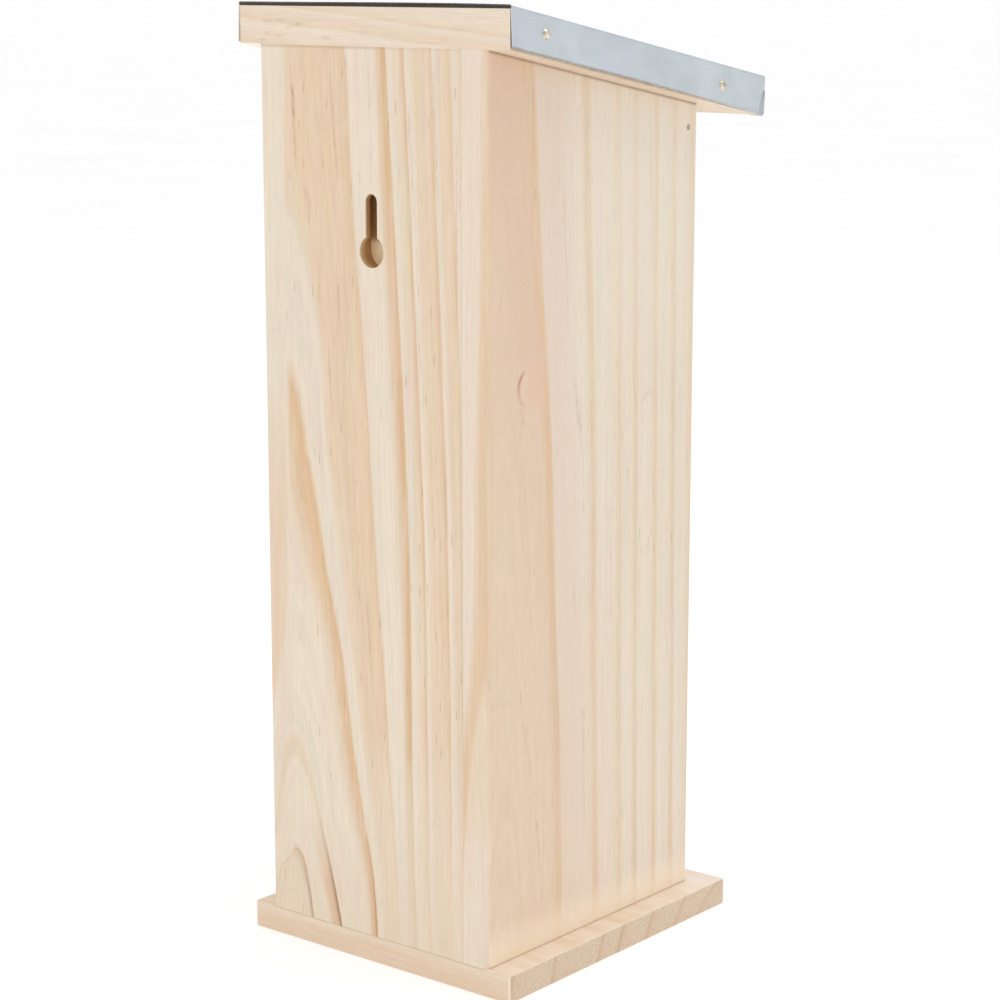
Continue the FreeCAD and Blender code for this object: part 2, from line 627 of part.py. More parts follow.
# ------------------------------------------------------------------ canes
# Each cane: middle (x, z) and outer radius. They lie in a loose pile in each bay.
bays = {
    "bottom": [(-32.76, 16.74, 6.54), (30.66, 18.84, 8.64), (15.23, 16.91, 6.71), (-17.04, 19.4, 9.2), (0.91, 24.26, 9.2),
               (-30.09, 32.0, 8.74), (19.46, 30.46, 7.3), (33.23, 33.54, 6.07), (-11.56, 34.72, 6.88), (7.77, 39.39, 7.21),
               (24.99, 43.45, 6.61), (-21.01, 44.68, 6.65), (-4.65, 47.4, 7.36), (13.88, 54.35, 8.75), (-31.83, 54.04, 7.47),
               (-15.77, 59.5, 8.88), (31.95, 55.77, 7.35), (0.08, 62.45, 7.05), (23.13, 67.17, 6.87), (-29.86, 70.21, 8.62),
               (9.7, 74.73, 8.35), (-8.61, 75.35, 8.31), (32.48, 77.45, 6.82), (-21.71, 83.97, 7.17), (20.94, 85.66, 7.13),
               (0.92, 87.26, 6.74), (-33.15, 91.18, 6.15), (-11.37, 94.14, 7.14), (32.45, 93.97, 6.85), (11.45, 96.48, 7.06)],
    "middle": [(33.02, 118.98, 6.28), (-34.01, 117.99, 5.29), (20.05, 119.2, 6.5), (5.94, 120.15, 7.45), (-21.05, 120.38, 7.68),
               (-6.88, 118.04, 5.34), (-10.33, 128.76, 5.72), (-31.58, 128.83, 5.61), (26.94, 130.36, 6.42), (14.47, 130.6, 5.85),
               (1.57, 134.35, 7.22), (-20.6, 133.77, 5.51), (-33.34, 140.47, 5.96), (-11.47, 139.95, 5.32), (33.88, 140.2, 5.42),
               (20.34, 141.52, 6.34), (-21.85, 147.56, 7.35), (8.39, 146.27, 6.32), (-4.88, 151.45, 7.73), (28.97, 151.17, 6.4),
               (-34.06, 151.84, 5.24), (17.41, 153.83, 5.26), (6.92, 161.15, 7.34), (-15.8, 158.86, 5.27), (-27.42, 161.77, 6.52),
               (24.5, 163.6, 6.61), (-6.55, 168.13, 7.63), (14.83, 172.83, 6.56), (-20.65, 174.4, 7.61), (33.99, 171.15, 5.31),
               (3.09, 178.29, 6.18), (25.9, 179.83, 6.35), (-33.22, 180.31, 6.08), (-8.91, 181.86, 6.11)],
    "top": [(-32.21, 204.09, 7.09), (-16.4, 205.6, 8.6), (0.93, 205.53, 8.53), (17.37, 204.72, 7.72), (32.43, 203.87, 6.87),
            (26.53, 217.61, 7.89), (-26.96, 217.53, 7.14), (10.44, 216.81, 6.01), (-7.62, 220.71, 8.68), (16.18, 229.18, 7.43),
            (-20.22, 229.8, 6.65), (32.36, 231.46, 6.94), (-33.24, 229.37, 6.06), (2.17, 233.14, 6.94), (-10.09, 237.54, 5.89),
            (-27.84, 242.91, 8.31), (23.18, 240.98, 6.09), (10.0, 245.77, 7.73), (-4.25, 248.87, 6.66), (33.19, 248.28, 6.11),
            (-17.02, 253.76, 6.81), (21.55, 257.59, 8.6), (-31.64, 258.63, 7.66), (4.41, 259.16, 6.58), (-7.83, 263.04, 6.05),
            (33.52, 265.91, 5.78), (-20.25, 266.12, 5.77), (12.35, 270.08, 6.72), (-31.05, 273.7, 7.22), (-0.85, 274.21, 6.91),
            (25.29, 276.77, 7.65), (-15.39, 279.64, 8.4), (9.25, 282.75, 6.12)],
}
wide_from = 7.36     # canes at least this thick, in outer radius, have the wide bores
cane_sheet = doc.addObject("Spreadsheet::Sheet", "canes")
line = 0
groups = {}
for bay in ("bottom", "middle", "top"):
    for k, (cx, cz, cr) in enumerate(bays[bay]):
        line += 1
        # bores of about 7 to 9 mm in the wide canes and 4 to 5.5 mm in the slim ones
        if cr >= wide_from:
            bore_r = min(round(cr * (0.48 + 0.03 * ((k * 7) % 4)), 2), 4.6)
        else:
            bore_r = min(round(cr * (0.36 + 0.02 * ((k * 7) % 4)), 2), 2.78)
        back = 4.0 + 0.35 * ((k * 5) % 7)               # setback of the front end
        cells = (("B", "x", cx), ("C", "z", cz), ("D", "ro", cr), ("E", "ri", bore_r), ("F", "back", back))
        d = {}
        cane_sheet.set("A%d" % line, "%s bay, cane %d" % (bay, k + 1))
        for col, what, value in cells:
            alias = "%s_%02d_%s" % (bay, k + 1, what)
            cane_sheet.set("%s%d" % (col, line), "%g" % value)
            cane_sheet.setAlias("%s%d" % (col, line), alias)
            d[what] = Dim(value, "canes." + alias)
        start = door_in + d["back"]
        length = inner_y - cane_rear - start
        wood = make_cylinder("cane_%s_%02d_wood" % (bay, k + 1), d["ro"], length, d["x"], start, d["z"], to_y)
        bore = make_cylinder("cane_%s_%02d_bore" % (bay, k + 1), d["ri"], length + 2, d["x"], start - 1, d["z"], to_y)
        cane = make_cut("cane_%s_%02d" % (bay, k + 1), wood, bore)
        kind = "wide" if cr >= wide_from else "slim"
        groups.setdefault("%s_bay_%s_canes" % (bay, kind), []).append(cane)
for name, items in groups.items():
    node(make_group(name + "_all", items), name)

# ------------------------------------------------------------------ check and write
doc.recompute()
for o in doc.Objects:
    bad = [s for s in o.State if s in ("Invalid", "Error")]
    if bad:
        raise RuntimeError("%s (%s): %s" % (o.Name, o.Label, bad))
os.makedirs("parts", exist_ok=True)
for o in nodes:
    s = o.Shape
    if s.isNull() or not s.isValid() or not s.Solids:
        raise RuntimeError("bad shape: " + o.Label)
for o in nodes:
    s = o.Shape
    s.exportStep("parts/%s.step" % o.Label)
    bb = s.BoundBox
    print("%-24s solids %3d  volume %10.1f  x %7.2f..%7.2f  y %7.2f..%7.2f  z %7.2f..%7.2f" % (
        o.Label, len(s.Solids), s.Volume, bb.XMin, bb.XMax, bb.YMin, bb.YMax, bb.ZMin, bb.ZMax))
print("nodes", len(nodes), "roof angle %.3f" % angle, "window %.2f x %.2f" % (window_w.v, window_h.v))
print("rails", lower_rail_z.v, upper_rail_z.v, top_rail_z.v, "shelves", shelf_zs[0].v, shelf_zs[1].v, "pivot y", pivot_y.v)
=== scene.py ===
"""Looks of a small wooden bee hotel with a sloping sheet-covered roof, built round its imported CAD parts."""

import math
import random

import bmesh
import bpy
from mathutils import Matrix, Vector


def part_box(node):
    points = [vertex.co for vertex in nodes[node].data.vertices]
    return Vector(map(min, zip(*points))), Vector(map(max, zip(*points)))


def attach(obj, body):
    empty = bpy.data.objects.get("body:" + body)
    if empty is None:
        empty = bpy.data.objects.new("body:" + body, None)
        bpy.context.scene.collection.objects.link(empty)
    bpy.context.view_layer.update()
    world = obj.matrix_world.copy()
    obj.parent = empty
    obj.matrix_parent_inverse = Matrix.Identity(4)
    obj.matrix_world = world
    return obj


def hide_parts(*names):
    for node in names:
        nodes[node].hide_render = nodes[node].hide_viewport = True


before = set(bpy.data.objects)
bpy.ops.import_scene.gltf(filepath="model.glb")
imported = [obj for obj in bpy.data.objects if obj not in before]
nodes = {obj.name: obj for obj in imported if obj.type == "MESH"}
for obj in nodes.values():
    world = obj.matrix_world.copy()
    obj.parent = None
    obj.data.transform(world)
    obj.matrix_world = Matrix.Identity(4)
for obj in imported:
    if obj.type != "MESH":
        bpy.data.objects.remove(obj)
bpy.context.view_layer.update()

MM = 0.001
RINGS = 15


# ---------------------------------------------------------------- colours and nodes


def tone(r, g, b):
    """A colour given as eye values from 0 to 255, as the linear colour that a shader takes."""

    def lin(v):
        v /= 255
        return v / 12.92 if v <= 0.04045 else ((v + 0.055) / 1.055) ** 2.4

    return (lin(r), lin(g), lin(b), 1.0)


class Tree:
    """A material's node tree, written as formulas."""

    def __init__(self, name):
        self.material = bpy.data.materials.new(name)
        self.material.use_nodes = True
        self.tree = self.material.node_tree
        self.tree.nodes.clear()
        self.out = self.tree.nodes.new("ShaderNodeOutputMaterial")
        self.shader = self.tree.nodes.new("ShaderNodeBsdfPrincipled")
        self.tree.links.new(self.shader.outputs[0], self.out.inputs[0])
        self.coords = self.tree.nodes.new("ShaderNodeTexCoord")

    def set(self, socket, value):
        if isinstance(value, bpy.types.NodeSocket):
            self.tree.links.new(value, socket)
        else:
            socket.default_value = value

    def surface(self, **values):
        """Sets sockets of the surface shader, by name with spaces written as underscores."""
        for name, value in values.items():
            self.set(self.shader.inputs[name.replace("_", " ")], value)

    def math(self, operation, *values, clamp=False):
        node = self.tree.nodes.new("ShaderNodeMath")
        node.operation = operation
        node.use_clamp = clamp
        for socket, value in zip(node.inputs, values):
            self.set(socket, value)
        return node.outputs[0]

    def add(self, *values):
        total = values[0]
        for value in values[1:]:
            total = self.math("ADD", total, value)
        return total

    def mul(self, *values):
        total = values[0]
        for value in values[1:]:
            total = self.math("MULTIPLY", total, value)
        return total

    def sub(self, a, b):
        return self.math("SUBTRACT", a, b)

    def square(self, a):
        return self.math("MULTIPLY", a, a)

    def span(self, value, low, high, start=0.0, end=1.0, smooth=True):
        """value from low..high to start..end, held at both ends."""
        node = self.tree.nodes.new("ShaderNodeMapRange")
        node.interpolation_type = "SMOOTHSTEP" if smooth else "LINEAR"
        node.clamp = True
        for socket, item in zip(node.inputs, (value, low, high, start, end)):
            self.set(socket, item)
        return node.outputs[0]

    def vector(self, x, y, z):
        node = self.tree.nodes.new("ShaderNodeCombineXYZ")
        for socket, value in zip(node.inputs, (x, y, z)):
            self.set(socket, value)
        return node.outputs[0]

    def split(self, vector):
        node = self.tree.nodes.new("ShaderNodeSeparateXYZ")
        self.set(node.inputs[0], vector)
        return node.outputs

    def scaled(self, vector, factor):
        node = self.tree.nodes.new("ShaderNodeVectorMath")
        node.operation = "SCALE"
        self.set(node.inputs[0], vector)
        node.inputs["Scale"].default_value = factor
        return node.outputs[0]

    def noise(self, vector, scale=1.0, detail=2.0, rough=0.5):
        node = self.tree.nodes.new("ShaderNodeTexNoise")
        self.set(node.inputs["Vector"], vector)
        node.inputs["Scale"].default_value = scale
        node.inputs["Detail"].default_value = detail
        node.inputs["Roughness"].default_value = rough
        return node.outputs[0]

    def cells(self, vector, scale=1.0, feature="F1"):
        """Distance to the nearest scattered point, and that point's own random colour."""
        node = self.tree.nodes.new("ShaderNodeTexVoronoi")
        node.feature = feature
        self.set(node.inputs["Vector"], vector)
        node.inputs["Scale"].default_value = scale
        return node.outputs["Distance"], node.outputs["Color"]

    def mix(self, factor, a, b, blend="MIX"):
        node = self.tree.nodes.new("ShaderNodeMix")
        node.data_type = "RGBA"
        node.blend_type = blend
        node.clamp_factor = True
        self.set(node.inputs["Factor"], factor)
        self.set(node.inputs[6], a)
        self.set(node.inputs[7], b)
        return node.outputs[2]

    def ramp(self, factor, stops, mode="LINEAR"):
        node = self.tree.nodes.new("ShaderNodeValToRGB")
        node.color_ramp.interpolation = mode
        elements = node.color_ramp.elements
        while len(elements) > 1:
            elements.remove(elements[-1])
        elements[0].position, elements[0].color = stops[0]
        for position, colour in stops[1:]:
            element = elements.new(position)
            element.color = colour
        self.set(node.inputs[0], factor)
        return node.outputs[0]

    def steps(self, index, rows):
        """Values kept for each whole index: rows of three, with the index counted in RINGS."""
        stops = [(i / RINGS, (*row, 1.0)) for i, row in enumerate(rows)]
        return self.split(self.ramp(self.mul(self.add(index, 0.5), 1 / RINGS), stops, "CONSTANT"))

    def curve(self, value, points):
        """A value through a broken line of points, both 0 to 1."""
        node = self.tree.nodes.new("ShaderNodeFloatCurve")
        line = node.mapping.curves[0]
        points = sorted(points)
        while len(line.points) < len(points):
            line.points.new(0.5, 0.5)
        for point, place in zip(line.points, points):
            point.location = place
            point.handle_type = "VECTOR"
        node.mapping.update()
        self.set(node.inputs["Value"], value)
        return node.outputs[0]

    def grey(self, value):
        """A value as a grey colour."""
        node = self.tree.nodes.new("ShaderNodeCombineColor")
        for socket in node.inputs:
            self.set(socket, value)
        return node.outputs[0]

    def bump(self, height, distance, strength):
        node = self.tree.nodes.new("ShaderNodeBump")
        node.inputs["Strength"].default_value = strength
        node.inputs["Distance"].default_value = distance
        self.set(node.inputs["Height"], height)
        self.set(self.shader.inputs["Normal"], node.outputs[0])


# ---------------------------------------------------------------- pine


CREAM = (231, 217, 198)
TAN = (227, 202, 174)
LATE = (219, 182, 143)
STRAW = (220, 198, 160)


def made_up(seed, first, width, spread, count=11, line=(0.25, 0.7), late=(1.2, 2.6)):
    """Growth rings of a log that isn't known: radius in mm, strength of the dark line, strength
    of the tan before it, how straw-coloured the line is, width of the line, softness outside it,
    where in the ring the tan starts and how gently."""
    rng = random.Random(seed)
    rows, r = [], first
    for _ in range(count):
        rows.append(
            (
                r, rng.uniform(*line), rng.uniform(0.4, 0.9), rng.uniform(0.0, 0.9), rng.uniform(*late),
                rng.uniform(0.5, 1.0), rng.uniform(0.1, 0.4), 0.6,
            )
        )
        r += width * rng.uniform(1 - spread, 1 + spread)
    return rows


def pine(
    name,
    axes,
    pith,
    rings,
    rise=0.0,
    depth_weight=1.0,
    seed=0.0,
    warp=1.0,
    cream=CREAM,
    tan=TAN,
    late=LATE,
    straw=STRAW,
    flecks=0.6,
    streaks=1.0,
    bend=None,
    swell=None,
    reshape=None,
    fade=None,
    extra=None,
):
    """Planed pine. axes names the board's across, depth and along axes; pith is where the log's
    heart lies across and in depth, and rings are the growth rings round it."""
    t = Tree(name)
    p = t.split(t.scaled(t.coords.outputs["Object"], 1000.0))
    by_name = {"x": p[0], "y": p[1], "z": p[2]}
    a, c, b = (by_name[k] for k in axes)
    n = t.split(t.coords.outputs["Normal"])
    n_along = t.math("ABSOLUTE", {"x": n[0], "y": n[1], "z": n[2]}[axes[2]])

    # the log wanders a little along its length
    wander = t.noise(
        t.vector(t.mul(a, 0.021), t.add(t.mul(c, 0.021), seed), t.mul(b, 0.0075)), 1.0, 2.0
    )
    ripple = t.noise(
        t.vector(t.mul(a, 0.09), t.add(t.mul(c, 0.09), seed + 7), t.mul(b, 0.028)), 1.0, 2.0
    )
    shift = t.add(t.mul(t.sub(wander, 0.5), 4.0 * warp), t.mul(t.sub(ripple, 0.5), 1.6 * warp))
    off = t.add(a, shift, -pith[0])
    if bend:
        off = bend(t, p, off)
    q = t.add(t.square(off), t.mul(t.square(t.sub(c, pith[1])), depth_weight), t.mul(b, rise))
    if swell:
        q = swell(t, p, off, q)
    radius = t.math("SQRT", t.math("MAXIMUM", q, 0.01))
    if reshape:
        radius = reshape(t, p, radius)

    # which ring, how far from its inner and outer edges
    radii = [row[0] for row in rings]
    top = radii[-1] + 30.0
    places = [(0.0, 0.0)]
    places += [(r / top, (i + 1) / RINGS) for i, r in enumerate(radii)]
    places.append((1.0, (len(radii) + 1) / RINGS))
    ring = t.mul(t.curve(t.mul(radius, 1 / top), places), RINGS)
    part = t.math("FRACT", ring)
    whole = t.math("FLOOR", ring)
    before = t.math("MAXIMUM", t.sub(whole, 1.0), 0.0)
    looks = [(row[1], row[2], row[3]) for row in rings] + [(0.2, 0.3, 0.5)]
    widths = [hi - lo for lo, hi in zip([0.0] + radii, radii + [top])]
    sizes = [(w / 60, row[4] / 10, row[5] / 4) for w, row in zip(widths, rings)] + [(0.5, 0.2, 0.2)]
    starts = [(row[6], row[7], 0.0) for row in rings] + [(0.2, 0.6, 0.0)]
    here, there = t.steps(whole, looks), t.steps(before, looks)
    size, size_before = t.steps(whole, sizes), t.steps(before, sizes)
    start = t.steps(whole, starts)
    width = t.mul(size[0], 60.0)
    to_edge = t.mul(t.sub(1.0, part), width)
    from_edge = t.mul(part, width)

    # streaks that follow the rings, and fibres that follow the board
    broad = t.noise(t.vector(t.mul(radius, 0.42), seed + 9, t.mul(b, 0.004)), 1.0, 2.0)
    fine = t.noise(t.vector(t.mul(radius, 1.5), seed + 13, t.mul(b, 0.009)), 1.0, 3.0, 0.6)
    fibre = t.noise(
        t.vector(t.mul(a, 0.95), t.add(t.mul(c, 0.95), seed + 3), t.mul(b, 0.014)), 1.0, 4.0, 0.65
    )
    hair = t.noise(
        t.vector(t.mul(a, 2.1), t.add(t.mul(c, 2.1), seed + 5), t.mul(b, 0.11)), 1.0, 3.0, 0.65
    )
    mottle = t.noise(
        t.vector(t.mul(a, 0.55), t.add(t.mul(c, 0.55), seed + 29), t.mul(b, 0.16)), 1.0, 3.0, 0.65
    )
    tint = t.noise(
        t.vector(t.mul(a, 0.34), t.add(t.mul(c, 0.34), seed + 23), t.mul(b, 0.021)), 1.0, 2.0, 0.6
    )
    patch = t.noise(
        t.vector(t.mul(a, 0.06), t.add(t.mul(c, 0.06), seed + 11), t.mul(b, 0.016)), 1.0, 3.0
    )
    cloud = t.noise(
        t.vector(t.mul(a, 0.16), t.add(t.mul(c, 0.16), seed + 17), t.mul(b, 0.045)), 1.0, 2.0
    )

    after = t.span(t.math("DIVIDE", from_edge, t.mul(size_before[2], 4.0)), 0.0, 1.0, 1.0, 0.0)
    ragged = t.add(part, t.mul(t.sub(fibre, 0.5), 0.22), t.mul(t.sub(broad, 0.5), 0.4 * streaks))
    rise_in = t.span(t.math("DIVIDE", t.sub(ragged, start[0]), t.math("MAXIMUM", start[1], 0.02)), 0.0, 1.0)
    body = t.math("MAXIMUM", t.mul(rise_in, here[1]), t.mul(after, there[1]))
    reach = t.math("DIVIDE", t.add(to_edge, t.mul(t.sub(fine, 0.5), 0.8)), t.mul(size[1], 10.0))
    line = t.math("MAXIMUM", t.mul(t.span(reach, 0.05, 1.0, 1.0, 0.0), here[0]), t.mul(after, there[0]))
    if fade:
        body_gain, line_gain = fade(t, p, off)
        body, line = t.mul(body, body_gain), t.mul(line, line_gain)
    straws = t.mix(after, t.grey(here[2]), t.grey(there[2]))

    colour = t.mix(body, tone(*cream), tone(*tan))
    colour = t.mix(line, colour, t.mix(straws, tone(*late), tone(*straw)))

    # slow drifts of pink, straw and grey-green
    colour = t.mix(t.span(patch, 0.52, 0.78, 0.0, 0.3), colour, tone(229, 202, 178))
    colour = t.mix(t.span(patch, 0.46, 0.22, 0.0, 0.3), colour, tone(231, 220, 200))
    colour = t.mix(t.span(cloud, 0.55, 0.8, 0.0, 0.3), colour, tone(233, 211, 198))
    colour = t.mix(t.span(cloud, 0.45, 0.2, 0.0, 0.3), colour, tone(226, 215, 190))
    colour = t.mix(t.span(tint, 0.52, 0.74, 0.0, 0.44), colour, tone(234, 207, 192))
    colour = t.mix(t.span(tint, 0.48, 0.26, 0.0, 0.44), colour, tone(225, 215, 185))
    shade = t.add(
        1.0,
        t.mul(t.sub(fine, 0.5), 0.18 * streaks),
        t.mul(t.sub(broad, 0.5), 0.07 * streaks),
        t.mul(t.sub(fibre, 0.5), 0.2),
        t.mul(t.sub(hair, 0.5), 0.2),
        t.mul(t.sub(mottle, 0.5), 0.1),
    )
    colour = t.mix(1.0, colour, t.grey(shade), "MULTIPLY")

    # resin canals: short dark dashes that follow the grain, and a few long ones
    near, chance = t.cells(
        t.vector(t.mul(a, 0.55), t.add(t.mul(c, 0.55), seed + 2), t.mul(b, 0.066))
    )
    pick = t.split(chance)
    dash = t.mul(
        t.span(near, 0.06, 0.22, 1.0, 0.0),
        t.span(pick[0], 0.46, 0.66),
        t.span(t.add(patch, t.mul(body, 0.25)), 0.36, 0.62, 0.15, 1.0),
    )
    far, chance = t.cells(
        t.vector(t.mul(a, 0.24), t.add(t.mul(c, 0.24), seed + 6), t.mul(b, 0.013))
    )
    pick = t.split(chance)
    long_dash = t.mul(t.span(far, 0.02, 0.085, 1.0, 0.0), t.span(pick[0], 0.72, 0.80))
    dash = t.math("MAXIMUM", dash, t.mul(long_dash, 0.5))
    colour = t.mix(t.mul(dash, flecks), colour, tone(188, 154, 122))

    # sawn ends across the fibres are greyer, with open pores
    end = t.span(n_along, 0.75, 0.92)
    pore = t.noise(t.scaled(t.coords.outputs["Object"], 1050.0), 1.0, 4.0, 0.72)
    saw = t.noise(
        t.vector(t.mul(t.add(a, t.mul(c, 0.35)), 0.9), t.add(t.mul(c, 0.22), seed), t.mul(b, 0.2)), 1.0, 3.0, 0.6
    )
    sawn = t.mix(t.span(pore, 0.34, 0.72), tone(224, 205, 182), tone(207, 182, 154))
    sawn = t.mix(t.span(saw, 0.45, 0.75, 0.0, 0.55), sawn, tone(207, 181, 154))
    sawn = t.mix(t.span(saw, 0.45, 0.2, 0.0, 0.4), sawn, tone(228, 212, 192))
    sawn = t.mix(t.mul(t.add(t.mul(body, 0.35), t.mul(line, 1.4)), 0.8), sawn, tone(196, 158, 126))
    colour = t.mix(end, colour, sawn)

    height = t.add(
        t.mul(hair, 0.35),
        t.mul(fibre, 0.4),
        t.mul(line, 0.25),
        t.mul(dash, -0.7),
        t.mul(end, pore, 1.2),
    )
    rough = t.add(0.56, t.mul(t.sub(fibre, 0.5), 0.3), t.mul(end, 0.12))
    if extra:
        colour, rough, height = extra(
            t, p, n, colour, rough, height,
            dict(ring=ring, line=line, hair=hair, fibre=fibre, tint=tint, to_edge=to_edge),
        )
    t.surface(Base_Color=colour, Roughness=rough, Specular_IOR_Level=0.3)
    t.bump(height, 0.00012, 0.3)
    return t.material


def stroke(t, u, v, start, end, half, strength, wave=0.0, broken=1.0):
    """A thin mark from start to end, two points (u, v), fading out at both ends."""
    (u0, v0), (u1, v1) = start, end
    k = t.mul(t.sub(v, v0), 1 / (v1 - v0))
    middle = t.add(u0, t.mul(k, u1 - u0))
    away = t.math("ABSOLUTE", t.add(t.sub(u, middle), wave))
    return t.mul(
        t.span(away, half * 0.2, half, 1.0, 0.0), t.span(k, 0.0, 0.3), t.span(k, 0.7, 1.0, 1.0, 0.0), strength, broken
    )


def along(t, z, points, low, high):
    """A value by the height z in mm, from points (height, value) between low and high."""
    line = t.curve(t.mul(z, 1 / 340), [(h / 340, (v - low) / (high - low)) for h, v in points])
    return t.add(t.mul(line, high - low), low)


def back_swell(t, p, off, q):
    """How the nested arches of the back board depart from plain ones."""
    z = p[2]
    # the third ring flares out to the right towards the bottom
    flare = along(
        t, z,
        [(0, 460), (20, 480), (30, 462), (40, 400), (50, 290), (60, 240), (80, 140), (100, 110), (120, 30), (140, -30), (170, -30), (200, 0), (340, 0)],
        -100.0, 500.0,
    )
    d = t.sub(t.mul(off, -1.0), 38.0)
    d = t.add(t.mul(t.math("MAXIMUM", d, 0.0), 0.1), t.mul(t.math("MINIMUM", d, 0.0), 1 / 14))
    q = t.sub(q, t.mul(flare, t.math("EXPONENT", t.mul(t.square(d), -1.0))))
    # the first and the third are pointed on their right, the second on its left
    size = t.math("ABSOLUTE", off)
    close = t.sub(1.0, t.math("EXPONENT", t.mul(size, -0.25)))
    first = t.mul(t.span(z, 10.0, 32.0, 80.0, 0.0, smooth=False), t.span(off, -0.5, 0.5, 1.0, 0.0), t.span(size, 9.0, 16.0, 1.0, 0.0))
    third = t.mul(
        along(t, z, [(0, 0), (112, 0), (140, 95), (180, 95), (206, 30), (216, 0), (340, 0)], 0.0, 120.0),
        t.span(off, -0.5, 0.5, 1.0, 0.0),
        t.span(size, 18.0, 30.0, 1.0, 0.0),
    )
    second = t.mul(along(t, z, [(0, 0), (26, 0), (40, 110), (56, 70), (70, 10), (80, 0), (340, 0)], 0.0, 120.0), t.span(off, -0.5, 0.5))
    q = t.add(q, t.mul(close, t.add(first, second, third)))
    # the heart runs out near the top
    still = t.math("EXPONENT", t.mul(t.square(t.mul(off, 1 / 12)), -1.0))
    q = t.sub(q, t.mul(t.math("MAXIMUM", t.sub(z, 270.0), 0.0), 5.6, still))
    # the rings right of the fourth stand upright in the lower half, and the fourth near the top
    q = t.add(q, t.mul(along(t, z, [(0, 500), (40, 470), (80, 310), (120, 130), (150, 20), (165, 0), (340, 0)], 0.0, 520.0), t.span(off, -50.0, -55.0)))
    q = t.sub(q, t.mul(t.span(z, 262.0, 312.0, 0.0, 105.0), t.span(size, 18.0, 26.0), t.span(size, 46.0, 38.0)))
    # left of it one pale ring fills the board
    left = t.mul(t.span(off, -0.6, 2.4), t.span(z, 86.0, 106.0))
    return t.add(q, t.mul(t.sub(1240.0, q), left))


def back_fade(t, p, off):
    """The tan is weak near the bottom, and the rings have no dark line left of the heart."""
    left = t.mul(t.span(off, -1.4, 0.8), t.span(p[2], 84.0, 100.0))
    right = t.mul(t.span(off, -46.0, -41.0, 1.0, 0.0), t.span(p[2], 40.0, 92.0, 0.6, 0.0))
    return t.span(p[2], 48.0, 100.0, 0.5, 1.0), t.mul(t.sub(1.0, left), t.sub(1.0, right))


